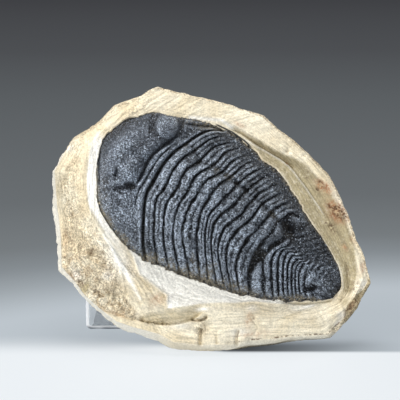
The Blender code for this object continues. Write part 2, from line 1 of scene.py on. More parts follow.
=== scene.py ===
"""Looks of a large trilobite in its carved limestone block, on a clear acrylic stand.

The fossil and the block are laid out on the block's leaning face: u runs to the right,
v up along the face and w out of it, all from the block's centre. Relief is the height
above the carved face, which turns a little from the block's flat back. Places on the
face were read from a front picture of 400 by 400 pixels and are turned into real sizes
by FacePicture. Tables of the face hold picture points in pixels and relief in
millimetres; everything else is in metres.
"""

import logging
import math
from dataclasses import dataclass
from enum import Enum
from typing import NamedTuple, Sequence

import bmesh
import bpy
import numpy as np
from bpy.types import Material, Node, NodeSocket, NodeTree, Object
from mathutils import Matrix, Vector, noise


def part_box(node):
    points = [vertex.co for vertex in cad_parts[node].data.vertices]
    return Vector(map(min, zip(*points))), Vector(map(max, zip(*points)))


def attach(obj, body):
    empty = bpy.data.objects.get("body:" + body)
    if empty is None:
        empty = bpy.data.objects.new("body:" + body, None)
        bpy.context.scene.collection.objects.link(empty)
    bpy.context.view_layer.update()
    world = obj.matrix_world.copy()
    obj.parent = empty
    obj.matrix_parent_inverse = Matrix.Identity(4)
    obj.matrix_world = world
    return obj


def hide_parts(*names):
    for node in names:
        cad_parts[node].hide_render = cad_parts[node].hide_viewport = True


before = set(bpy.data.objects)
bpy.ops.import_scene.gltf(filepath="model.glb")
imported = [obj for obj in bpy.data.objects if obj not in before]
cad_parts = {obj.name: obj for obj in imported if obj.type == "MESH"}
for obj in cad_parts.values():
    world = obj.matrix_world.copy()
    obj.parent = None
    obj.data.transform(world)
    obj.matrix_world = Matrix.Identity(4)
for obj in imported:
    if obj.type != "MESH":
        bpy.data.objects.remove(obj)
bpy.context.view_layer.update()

log = logging.getLogger("trilobite")

MM = 0.001
BODY = "root"
BELL_STEEPNESS = 1.6
Colour = tuple[float, float, float]
Pair = tuple[float, float]
Grid = np.ndarray
Points = Sequence[Pair]
Outputs = bpy.types.bpy_prop_collection
Input = NodeSocket | Material | str | float | tuple


# Small pieces of arithmetic


def smooth_through(keys: Sequence[float], values: Sequence, places: Grid) -> Grid:
    """Reads a smooth curve that passes through known values.

    Args:
        keys: Rising positions of the known values.
        values: One value, or array of values, for each key.
        places: Positions at which the curve is read.

    Returns:
        The curve's values, with the places as the first axis.
    """
    keys = np.asarray(keys, dtype=float)
    values = np.asarray(values, dtype=float)
    places = np.asarray(places, dtype=float)
    slopes = np.gradient(values, keys, axis=0)
    index = np.clip(np.searchsorted(keys, places, side="right") - 1, 0, len(keys) - 2)
    widths = keys[index + 1] - keys[index]
    share = (places - keys[index]) / widths
    shape = (len(places),) + (1,) * (values.ndim - 1)
    share, widths = share.reshape(shape), widths.reshape(shape)
    start = (1 + 2 * share) * (1 - share) ** 2
    leave = share * (1 - share) ** 2
    finish = share ** 2 * (3 - 2 * share)
    arrive = share ** 2 * (share - 1)
    return (start * values[index] + leave * widths * slopes[index]
            + finish * values[index + 1] + arrive * widths * slopes[index + 1])


def bell(distance: Grid) -> Grid:
    """A smooth bump that is 1 at no distance and fades out past a distance of 1."""
    return np.exp(-BELL_STEEPNESS * np.square(distance))


def rise(low: float, high: float, value: Grid) -> Grid:
    """Rises smoothly from 0 at low to 1 at high."""
    share = np.clip((value - low) / (high - low), 0, 1)
    return share * share * (3 - 2 * share)


def window(value: Grid, start: float, full: float, fade: float, gone: float) -> Grid:
    """Rises from 0 at start to 1 at full, and falls again from 1 at fade to 0 at gone."""
    return rise(start, full, value) * rise(gone, fade, value)


def unevenness(places: Grid, size: float, seed: float = 0, octaves: int = 3) -> Grid:
    """Repeatable fractal unevenness, about -1 to 1.

    Args:
        places: Coordinates along the last axis, two or three of them.
        size: The width of the largest lumps, in the places' own unit.
        seed: Shifts the pattern.
        octaves: How many finer layers are added.

    Returns:
        One value for each place.
    """
    flat = places.reshape(-1, places.shape[-1]) / size
    if flat.shape[1] == 2:
        flat = np.column_stack([flat, np.full(len(flat), 0.37)])
    flat = flat + seed * 7.31
    values = np.fromiter((noise.fractal(Vector(place), 0.9, 2.1, octaves) for place in flat), float, len(flat))
    return values.reshape(places.shape[:-1])


def stacked(*parts: Grid) -> Grid:
    """Joins coordinate arrays along a new last axis."""
    return np.stack(np.broadcast_arrays(*parts), axis=-1)


def around(radius: Grid, angle: Grid) -> tuple[Grid, Grid]:
    """Turns distances and directions from the centre into steps right and up."""
    return radius * np.cos(angle), radius * np.sin(angle)


def line_distance(x: Grid, y: Grid, line: Points) -> tuple[Grid, Grid]:
    """Distance to a picture line, and the way along it.

    Args:
        x: Picture x of each place.
        y: Its picture y.
        line: The line's points.

    Returns:
        The signed distance in pixels, positive below or right of the line, and the share
        of the line's length at its nearest point.
    """
    points = np.array(line, dtype=float)
    lengths = np.hypot(*np.diff(points, axis=0).T)
    reached = np.concatenate([[0], np.cumsum(lengths)])
    best = np.full(x.shape, 1e6)
    side = np.ones(x.shape)
    along = np.zeros(x.shape)
    for index, length in enumerate(lengths):
        step = (points[index + 1] - points[index]) / length
        ahead = np.clip((x - points[index, 0]) * step[0] + (y - points[index, 1]) * step[1], 0, length)
        off_x = x - points[index, 0] - ahead * step[0]
        off_y = y - points[index, 1] - ahead * step[1]
        away = np.hypot(off_x, off_y)
        nearer = away < best
        best = np.where(nearer, away, best)
        side = np.where(nearer, np.where(step[0] * off_y - step[1] * off_x >= 0, 1, -1), side)
        along = np.where(nearer, (reached[index] + ahead) / reached[-1], along)
    return best * side, along


def blurred(grid: Grid, reach: int) -> Grid:
    """Averages a grid over a square neighbourhood, with its edges held."""
    for _ in range(2):
        sums = np.cumsum(np.pad(grid, ((reach, reach + 1), (0, 0)), mode="edge"), axis=0)
        grid = ((sums[2 * reach:2 * reach + len(grid)] - sums[:len(grid)]) / (2 * reach)).T
    return grid


# The face that everything is laid out on


@dataclass(frozen=True)
class FacePicture:
    """Turns picture places into places on the block's leaning face, and those into the world's.

    Attributes:
        offset: The block's centre over the floor, as x and y.
        block_width: The block's real width.
        picture_width: The block's width in the picture, in pixels.
        centre: The block's centre in the picture.
        middle: The picture's own middle.
        lean: How far the block leans back.
        turn: How fast the carved face recedes to the right.
        view_height: The angle from which the picture looks down.
        distance: How far away the picture was taken.
        foot_drop: How far the block's foot stands below its centre.
        rounds: Steps taken towards a place that has to be found by trial.
    """

    offset: Pair
    block_width: float = 0.1150
    picture_width: float = 319.0
    centre: Pair = (211.5, 218)
    middle: Pair = (200, 200)
    lean: float = math.radians(20.0)
    turn: float = math.tan(math.radians(11.0))
    view_height: float = math.radians(9.0)
    distance: float = 0.60
    foot_drop: float = 0.0467
    rounds: int = 4

    @property
    def scale(self) -> float:
        """Metres in a pixel at the block's centre."""
        return self.block_width / self.picture_width

    @property
    def across(self) -> float:
        """The angle between the view and the face's own normal."""
        return self.lean - self.view_height

    def place(self, x: Grid, y: Grid, w: Grid) -> tuple[Grid, Grid]:
        """Finds u and v of picture places.

        Args:
            x: Picture x in pixels.
            y: Picture y in pixels.
            w: How far the places stand out of the block's centre plane.

        Returns:
            The places' u and v.
        """
        rightward = (np.asarray(x, dtype=float) - self.centre[0]) * self.scale
        upward = (self.centre[1] - np.asarray(y, dtype=float)) * self.scale
        u, v = rightward, upward
        for _ in range(self.rounds):
            nearer = w * math.cos(self.across) - v * math.sin(self.across)
            shrink = 1 - nearer / self.distance
            u = rightward * shrink
            v = (upward * shrink - w * math.sin(self.across)) / math.cos(self.across)
        return u, v

    def relief_place(self, x: Grid, y: Grid, relief: Grid) -> Grid:
        """Finds u, v and w of picture places at a relief above the carved face."""
        w = np.asarray(relief, dtype=float)
        u, v = self.place(x, y, w)
        for _ in range(self.rounds):
            w = relief - self.turn * u
            u, v = self.place(x, y, w)
        return stacked(u, v, w)

    def picture_of(self, places: Grid) -> tuple[Grid, Grid]:
        """Finds the picture x and y at which places of the face are seen."""
        u, v, w = places[..., 0], places[..., 1], places[..., 2]
        nearer = w * math.cos(self.across) - v * math.sin(self.across)
        upward = v * math.cos(self.across) + w * math.sin(self.across)
        grow = 1 / (self.scale * (1 - nearer / self.distance))
        return self.centre[0] + u * grow, self.centre[1] - upward * grow

    def round_centre(self, x: Grid, y: Grid) -> tuple[Grid, Grid]:
        """Finds the direction and the distance of picture places from the block's centre."""
        across, up = x - self.centre[0], self.centre[1] - y
        return np.arctan2(up, across), np.hypot(across, up)

    def world(self, places: Grid) -> Grid:
        """Turns u, v and w into world coordinates."""
        u, v, w = places[..., 0], places[..., 1], places[..., 2]
        sine, cosine = math.sin(self.lean), math.cos(self.lean)
        return stacked(u + self.offset[0], v * sine - w * cosine + self.offset[1],
                       v * cosine + w * sine + self.foot_drop)


# Making meshes


def placed(name: str, data: bpy.types.ID) -> Object:
    """Makes an object of a mesh, a light or a camera and links it to the scene."""
    made = bpy.data.objects.new(name, data)
    bpy.context.scene.collection.objects.link(made)
    return made


def mesh_piece(name: str, vertices: Grid, faces: list) -> Object:
    """Makes a smoothly shaded object at the origin with its place in its mesh.

    Args:
        name: The piece's name.
        vertices: World coordinates, one row each.
        faces: Lists of vertex numbers.

    Returns:
        The linked object.
    """
    mesh = bpy.data.meshes.new(name)
    mesh.from_pydata(vertices.tolist(), [], faces)
    mesh.polygons.foreach_set("use_smooth", [True] * len(mesh.polygons))
    mesh.update()
    return placed(name, mesh)


def face_outward(piece: Object) -> None:
    """Turns a closed mesh's faces outward."""
    builder = bmesh.new()
    builder.from_mesh(piece.data)
    bmesh.ops.recalc_face_normals(builder, faces=builder.faces)
    builder.to_mesh(piece.data)
    builder.free()


def grid_faces(rows: int, columns: int, closed: bool = False) -> list:
    """Quads over a grid of vertices.

    Args:
        rows: Vertices along the first axis.
        columns: Vertices along the second axis.
        closed: Whether the second axis runs round and meets itself.

    Returns:
        One list of four vertex numbers for each quad.
    """
    row, column = np.meshgrid(np.arange(rows - 1), np.arange(columns if closed else columns - 1), indexing="ij")
    following = (column + 1) % columns
    quads = stacked(row * columns + column, (row + 1) * columns + column,
                    (row + 1) * columns + following, row * columns + following)
    return quads.reshape(-1, 4).tolist()


def baked_copy(rough: Object, name: str) -> Object:
    """Replaces an object with modifiers by a plain mesh object.

    Args:
        rough: The object to replace.
        name: The new object's name.

    Returns:
        The new, linked object.
    """
    bpy.context.view_layer.update()
    graph = bpy.context.evaluated_depsgraph_get()
    mesh = bpy.data.meshes.new_from_object(rough.evaluated_get(graph))
    mesh.name = name
    bpy.data.objects.remove(rough, do_unlink=True)
    return placed(name, mesh)


def add_mask(piece: Object, name: str, values: Grid) -> None:
    """Stores one number for each vertex, for the material to read."""
    attribute = piece.data.attributes.new(name, "FLOAT", "POINT")
    attribute.data.foreach_set("value", np.clip(values, 0, 1).astype(np.float32))


def carry(piece: Object, slot: str, *nodes: str) -> None:
    """Sets a finished piece on the body and hides the nodes that it stands for."""
    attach(piece, BODY)
    if nodes:
        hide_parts(*nodes)
    log.info("%s: %d faces", piece.name, len(piece.data.polygons))


# Materials


class NodeBench:
    """Lays out nodes in a tree with short calls. A value is an output to link or a plain value."""

    FIRST_COLOUR, SECOND_COLOUR, MIXED_COLOUR = 6, 7, 2

    def __init__(self, tree: NodeTree) -> None:
        """Keeps the tree that nodes are added to."""
        self.tree = tree

    def add(self, kind: str, inputs: dict | None = None, **settings: object) -> Node:
        """Adds a node.

        Args:
            kind: The node's type.
            inputs: A value for each input, under its name or its number.
            settings: The node's own properties.

        Returns:
            The node.
        """
        node = self.tree.nodes.new(kind)
        for name, value in settings.items():
            setattr(node, name, value)
        self.fill(node, inputs or {})
        return node

    def fill(self, node: Node, inputs: dict) -> None:
        """Feeds several of a node's inputs, each under its name or its number."""
        for name, value in inputs.items():
            self.feed(node.inputs[name], value)

    def feed(self, target: NodeSocket, value: Input) -> None:
        """Links a value to an input or sets it there; a plain colour becomes opaque."""
        if isinstance(value, NodeSocket):
            self.tree.links.new(value, target)
        elif target.type == "RGBA":
            target.default_value = (*value, 1)
        else:
            target.default_value = value

    def noise(self, vector: NodeSocket, scale: Input, detail: float = 4, roughness: float = 0.55,
              distortion: float = 0) -> NodeSocket:
        """Adds noise and returns its factor."""
        return self.add("ShaderNodeTexNoise", {
            "Vector": vector, "Scale": scale, "Detail": detail, "Roughness": roughness,
            "Distortion": distortion}).outputs["Fac"]

    def spread(self, value: Input, low: float, high: float, to_low: float = 0, to_high: float = 1) -> NodeSocket:
        """Maps a range of values to another, held at its ends."""
        return self.add("ShaderNodeMapRange", {
            "Value": value, "From Min": low, "From Max": high, "To Min": to_low, "To Max": to_high},
            clamp=True, interpolation_type="SMOOTHSTEP").outputs["Result"]

    def between(self, share: Input, low: float, high: float) -> NodeSocket:
        """Turns a share from 0 to 1 into a value from low to high."""
        return self.spread(share, 0, 1, low, high)

    def math(self, operation: str, first: Input, second: Input) -> NodeSocket:
        """Does arithmetic on two values and returns the result."""
        return self.add("ShaderNodeMath", {0: first, 1: second}, operation=operation).outputs["Value"]

    def times(self, first: Input, second: Input) -> NodeSocket:
        """Multiplies two values."""
        return self.math("MULTIPLY", first, second)

    def plus(self, first: Input, second: Input) -> NodeSocket:
        """Adds two values."""
        return self.math("ADD", first, second)

    def tint(self, share: Input, first: Input, second: Input, blend: str = "MIX") -> NodeSocket:
        """Mixes two colours by a share and returns the result."""
        return self.add("ShaderNodeMix", {"Factor": share, self.FIRST_COLOUR: first, self.SECOND_COLOUR: second},
                        data_type="RGBA", blend_type=blend, clamp_factor=True).outputs[self.MIXED_COLOUR]

    def layers(self, colour: Input, *layers: tuple) -> Input:
        """Lays colours over a first one, each by its own share, and returns the result."""
        for share, *tint in layers:
            colour = self.tint(share, colour, *tint)
        return colour

    def bump(self, height: Input, strength: float, distance: float) -> NodeSocket:
        """Turns a height into a normal."""
        return self.add("ShaderNodeBump", {
            "Height": height, "Strength": strength, "Distance": distance}).outputs["Normal"]

    def parted(self, vector: NodeSocket) -> Outputs:
        """Takes a vector apart into its outputs X, Y and Z."""
        return self.add("ShaderNodeSeparateXYZ", {"Vector": vector}).outputs

    def grain(self, group: NodeTree, per_metre: float, share: float) -> Outputs:
        """Places the grain group with its own values and returns its outputs."""
        return self.add("ShaderNodeGroup", {
            "Vector": self.object_place(), "Grains Per Metre": per_metre, "Fleck Share": share},
            node_tree=group).outputs

    def mask(self, name: str) -> NodeSocket:
        """Reads one of the piece's own vertex masks."""
        return self.add("ShaderNodeAttribute", attribute_name=name).outputs["Fac"]

    def object_place(self) -> NodeSocket:
        """Reads the surface's place on the object."""
        return self.add("ShaderNodeTexCoord").outputs["Object"]


def grain_group() -> NodeTree:
    """Fine mineral grain: a height, light and dark flecks, and an uneven tone."""
    tree = bpy.data.node_groups.new("mineral_grain", "ShaderNodeTree")
    tree.interface.new_socket("Vector", in_out="INPUT", socket_type="NodeSocketVector")
    for label, default in (("Grains Per Metre", 1500), ("Fleck Share", 0.3)):
        tree.interface.new_socket(label, in_out="INPUT", socket_type="NodeSocketFloat").default_value = default
    for label in ("Height", "Light Flecks", "Dark Flecks", "Tone"):
        tree.interface.new_socket(label, in_out="OUTPUT", socket_type="NodeSocketFloat")
    bench = NodeBench(tree)
    given = bench.add("NodeGroupInput").outputs
    vector, per_metre = given["Vector"], given["Grains Per Metre"]
    soft = bench.noise(vector, per_metre, detail=5, roughness=0.62)
    coarse = bench.noise(vector, bench.times(per_metre, 0.28), detail=3)
    fine = bench.noise(vector, bench.times(per_metre, 0.98), detail=3, roughness=0.7)
    cells = bench.add("ShaderNodeTexVoronoi", {"Vector": vector, "Scale": bench.times(per_metre, 0.9)}, feature="F1")
    picked = bench.add("ShaderNodeSeparateColor", {"Color": cells.outputs["Color"]}).outputs
    limit = bench.math("SUBTRACT", 1, given["Fleck Share"])
    core = bench.spread(cells.outputs["Distance"], 0.5, 0.2)
    bench.add("NodeGroupOutput", {
        "Height": bench.plus(bench.times(soft, 0.6), bench.times(coarse, 0.4)),
        "Light Flecks": bench.times(bench.math("GREATER_THAN", picked["Red"], limit), core),
        "Dark Flecks": bench.times(bench.math("GREATER_THAN", picked["Green"], limit), core),
        "Tone": bench.spread(fine, 0.39, 0.61)})
    return tree


def start_material(name: str) -> tuple[Material, NodeBench, Node]:
    """Makes a node material and returns it with its bench and its Principled shader."""
    material = bpy.data.materials.new(name)
    material.use_nodes = True
    bench = NodeBench(material.node_tree)
    return material, bench, material.node_tree.nodes["Principled BSDF"]


@dataclass(frozen=True)
class FossilFinish:
    """Dark blue-grey calcite with a dull sheen, paler on its ridges from wear and painted highlights, with painted
    shade in its hollows.

    Attributes:
        deep: Colour of the painted shade in hollows and grooves, and of the dark grain flecks.
        body: Colour of most of the fossil.
        worn_and_lit: Colour on ridges and rings: paler wear with painted highlights.
        sediment: Brown-grey stone left in grooves and along the margin.
        fleck: Colour of the pale crystal flecks, which also stand in for painted glints.
        broken: Colour of freshly broken crystal.
        grains: Grains to the metre.
        flecks: Share of the grains that are flecks.
        roughness: How dull the fossil is.
        sheen: Strength of its reflections.
        bump: Height of its grain.
    """

    deep: Colour = (0.005, 0.006, 0.009)
    body: Colour = (0.046, 0.054, 0.067)
    worn_and_lit: Colour = (0.335, 0.387, 0.46)
    sediment: Colour = (0.235, 0.205, 0.15)
    fleck: Colour = (0.44, 0.5, 0.58)
    broken: Colour = (0.52, 0.6, 0.7)
    grains: float = 1900.0
    flecks: float = 0.40
    roughness: float = 0.36
    sheen: float = 0.42
    bump: float = 0.00135

    def material(self, grain_tree: NodeTree) -> Material:
        """Builds the material with the shared grain group in it."""
        material, bench, shader = start_material("fossil_calcite")
        grain = bench.grain(grain_tree, self.grains, self.flecks)
        place = bench.object_place()
        blotch = bench.spread(bench.noise(place, 260, 3), 0.35, 0.7)
        # Painted highlights ride on the ridge mask and the pale flecks, painted shade on the hollow mask
        ridge = bench.times(bench.mask("ridge"), bench.between(blotch, 0.55, 1))
        flecks_and_glints = bench.times(bench.times(grain["Light Flecks"], bench.mask("sparkle")), 0.95)
        chip = bench.times(bench.mask("chip"), bench.spread(grain["Tone"], 0.25, 0.65))
        patches = bench.spread(bench.noise(place, 900), 0.38, 0.62)
        crust = bench.times(bench.mask("sediment"), bench.between(patches, 0.15, 1))
        colour = bench.layers(
            self.body, (ridge, self.worn_and_lit), (bench.mask("hollow"), self.deep), (flecks_and_glints, self.fleck),
            (bench.times(grain["Dark Flecks"], 0.75), self.deep),
            (1, bench.between(grain["Tone"], 0.15, 2.05), "MULTIPLY"), (chip, self.broken), (crust, self.sediment))
        rough = bench.spread(grain["Height"], 0.3, 0.7, self.roughness - 0.1, self.roughness + 0.14)
        rough = bench.plus(rough, bench.times(crust, 0.3))
        bench.fill(shader, {
            "Base Color": colour, "Roughness": bench.plus(rough, bench.times(bench.mask("hollow"), 0.4)),
            "Specular IOR Level": self.sheen, "Normal": bench.bump(grain["Height"], 1, self.bump)})
        return material


@dataclass(frozen=True)
class LimestoneFinish:
    """Pale cream limestone: chalky where carved, tan and gritty where broken, with painted shade and painted light.

    Attributes:
        carved: Colour of freshly scraped stone.
        olive_and_shade: Colour of weather-stained stone and of painted shade in the channel, the scoop and the rim
            groove.
        chalk_and_light: Colour of the whitest scraped floor, also laid on faces in shade as painted light.
        cream: Colour of the plain stone.
        tan: Colour of the rough, weather-worn outer faces.
        rust: Colour of the iron stains.
        dark_stain_and_shade: Colour of the darkest brown stains, and of painted shade in a notch, the rim groove and
            the scoop's lower edge.
        sliver: Colour of the thin sliver of fossil that shows beside the far edge.
        grains: Grains to the metre.
        flecks: Share of the grains that are flecks.
        roughness: How dull the stone is.
        sheen: Strength of its reflections.
        bump: Height of its grain.
    """

    carved: Colour = (0.84, 0.77, 0.61)
    olive_and_shade: Colour = (0.42, 0.355, 0.22)
    chalk_and_light: Colour = (0.94, 0.92, 0.855)
    cream: Colour = (0.7, 0.6, 0.42)
    tan: Colour = (0.46, 0.37, 0.25)
    rust: Colour = (0.42, 0.2, 0.095)
    dark_stain_and_shade: Colour = (0.1, 0.055, 0.03)
    sliver: Colour = (0.03, 0.032, 0.036)
    grains: float = 1600.0
    flecks: float = 0.26
    roughness: float = 0.86
    sheen: float = 0.25
    bump: float = 0.00026

    def material(self, grain_tree: NodeTree) -> Material:
        """Builds the material with the shared grain group in it."""
        material, bench, shader = start_material("cream_limestone")
        grain = bench.grain(grain_tree, self.grains, self.flecks)
        place = bench.object_place()
        broken = bench.mask("rough")
        broad = bench.spread(bench.noise(place, 70), 0.36, 0.66)
        mottled = bench.spread(bench.noise(place, 340, 5, 0.62), 0.42, 0.66)
        patch = bench.spread(bench.noise(place, 800, 4, 0.65, 0.6), 0.42, 0.6)
        contrast = bench.times(grain["Tone"], bench.between(broken, 0.24, 0.8))
        # Painted shade comes in with the greenish and dark masks, painted light with the white mask
        colour = bench.layers(
            self.cream, (broad, self.carved), (bench.times(broken, bench.between(mottled, 0.25, 1)), self.tan),
            (bench.mask("olive_and_shade"), self.olive_and_shade), (bench.mask("chalk_and_light"), self.chalk_and_light),
            (1, bench.between(bench.mask("scrape"), 0.74, 1.16), "MULTIPLY"),
            (1, bench.plus(bench.between(broken, 0.85, 0.56), contrast), "MULTIPLY"),
            (bench.times(bench.mask("rust"), bench.between(patch, 0.35, 1)), self.rust),
            (bench.times(bench.mask("dark_stain_and_shade"), patch), self.dark_stain_and_shade),
            (bench.times(grain["Dark Flecks"], bench.between(broken, 0.22, 0.9)), self.tan),
            (bench.mask("sliver"), self.sliver))
        height = bench.times(grain["Height"], bench.between(broken, 0.45, 1.6))
        bench.fill(shader, {
            "Base Color": colour,
            "Roughness": bench.spread(grain["Height"], 0.3, 0.7, self.roughness - 0.06, self.roughness + 0.08),
            "Specular IOR Level": self.sheen, "Normal": bench.bump(height, 0.8, self.bump)})
        return material


@dataclass(frozen=True)
class GritFinish:
    """Loose grains of one colour range, from one stone to the next.

    Attributes:
        name: The material's name.
        dark: The darkest grains.
        light: The lightest grains.
        roughness: How dull they are.
    """

    name: str
    dark: Colour
    light: Colour
    roughness: float = 0.8

    def material(self) -> Material:
        """Builds the material."""
        material, bench, shader = start_material(self.name)
        varied = bench.spread(bench.noise(bench.object_place(), 1500, 2), 0.38, 0.62)
        bench.fill(shader, {"Base Color": bench.tint(varied, self.dark, self.light),
                            "Roughness": bench.between(varied, self.roughness - 0.08, self.roughness)})
        return material


class AcrylicSurface(Enum):
    """The two surfaces of a cut acrylic sheet."""

    FACE = "acrylic_face"
    EDGE = "acrylic_edge"


@dataclass(frozen=True)
class AcrylicFinish:
    """Clear cast acrylic with flame-polished faces and paler cut edges, painted dark along its lowest edges.

    Attributes:
        ior: How strongly the sheet bends light.
        face_roughness: How dull its faces are.
        edge_roughness: How dull its cut edges are.
        tone: Colour of the faces.
        edge_tone: Colour of the cut edges: frosted pale, partly painted light for the light that the sheet carries
            to them.
        foot_shadow_tone: Colour of the painted shade along the lowest cut edges of the sheet.
        foot_line: Height at which that darkness ends.
        face_alpha: How much of a face shows.
    """

    ior: float = 1.49
    face_roughness: float = 0.02
    edge_roughness: float = 0.40
    tone: Colour = (0.97, 0.985, 1)
    edge_tone: Colour = (0.97, 0.98, 1)
    foot_shadow_tone: Colour = (0.05, 0.065, 0.085)
    foot_line: float = 0.0019
    face_alpha: float = 0.13

    def material(self, surface: AcrylicSurface) -> Material:
        """Builds the material of one of the sheet's surfaces."""
        material, bench, shader = start_material(surface.value)
        place = bench.object_place()
        if surface is AcrylicSurface.EDGE:
            # Painted shade: the cut edges darken near the ground; their pale colour is partly painted light
            low = bench.spread(bench.parted(place)["Z"], self.foot_line, 0)
            streak = bench.spread(bench.noise(place, 130, 1), 0.4, 0.62, 0.55, 1)
            base = self.edge_roughness
            values = {"Base Color": bench.tint(bench.times(low, streak), self.edge_tone, self.foot_shadow_tone),
                      "Transmission Weight": 0.12, "Specular IOR Level": 0.5}
        else:
            base = self.face_roughness
            values = {"Base Color": self.tone, "Transmission Weight": 1, "Alpha": self.face_alpha,
                      "Specular IOR Level": 0.15}
        smear = bench.spread(bench.noise(place, 90, 3), 0.4, 0.7, base, base + 0.05)
        bench.fill(shader, {**values, "IOR": self.ior, "Roughness": smear})
        return material


# The fossil


class Lump(NamedTuple):
    """A hollow or a swelling: its picture place, its half sizes and turn, and its height."""

    x: float
    y: float
    half_length: float
    half_width: float
    turn: float
    height: float

    def share(self, x: Grid, y: Grid) -> Grid:
        """How far from the lump's middle each picture place lies, 1 at its edge."""
        along = math.cos(math.radians(self.turn))
        aside = math.sin(math.radians(self.turn))
        step_x = x - self.x
        step_y = self.y - y
        return np.hypot((step_x * along + step_y * aside) / self.half_length,
                        (step_y * along - step_x * aside) / self.half_width)


class Cut(NamedTuple):
    """A groove or a ridge that follows a picture line.

    Attributes:
        line: The line's picture points.
        height: Height in millimetres, negative for a groove.
        above: Reach to the line's left side as it runs, in pixels.
        below: Reach to its right side, in pixels.
    """

    line: Points
    height: float
    above: float
    below: float

    def relief(self, x: Grid, y: Grid) -> Grid:
        """The cut's relief at picture places, in millimetres, running out at its ends."""
        away, along = line_distance(x, y, self.line)
        reach = np.where(away > 0, self.below, self.above)
        return self.height * bell(away / reach) * window(along, 0, 0.1, 0.9, 1)


def lumps(*rows: tuple[float, ...]) -> tuple[Lump, ...]:
    """Makes a table of lumps, one from each row of numbers."""
    return tuple(Lump(*row) for row in rows)


def cuts(*rows: tuple) -> tuple[Cut, ...]:
    """Makes a table of cuts from rows of a line, its height and one reach or two."""
    return tuple(Cut(line, height, reaches[0], reaches[-1]) for line, height, *reaches in rows)


def spots(marks: Sequence[Lump], x: Grid, y: Grid) -> Grid:
    """Adds up soft marks at picture places, each as strong as its lump's height."""
    return sum(mark.height * bell(mark.share(x, y)) for mark in marks)


def stripe(x: Grid, y: Grid, line: Points, reach: float) -> Grid:
    """A soft stripe along a picture line, 1 on the line and gone past its reach in pixels."""
    return bell(line_distance(x, y, line)[0] / reach)


def band(x: Grid, y: Grid, line: Points, reach: Pair, ends: Pair) -> Grid:
    """A flat stripe along a picture line that fades out sideways and at its ends.

    Args:
        x: Picture x of each place.
        y: Its picture y.
        line: The line's points.
        reach: Pixels from the line where the stripe starts to fade and where it is gone.
        ends: Shares of the line's length up to and from which its ends fade.

    Returns:
        The stripe's strength from 0 to 1.
    """
    away, along = line_distance(x, y, line)
    return rise(reach[1], reach[0], np.abs(away)) * window(along, 0, *ends, 1)


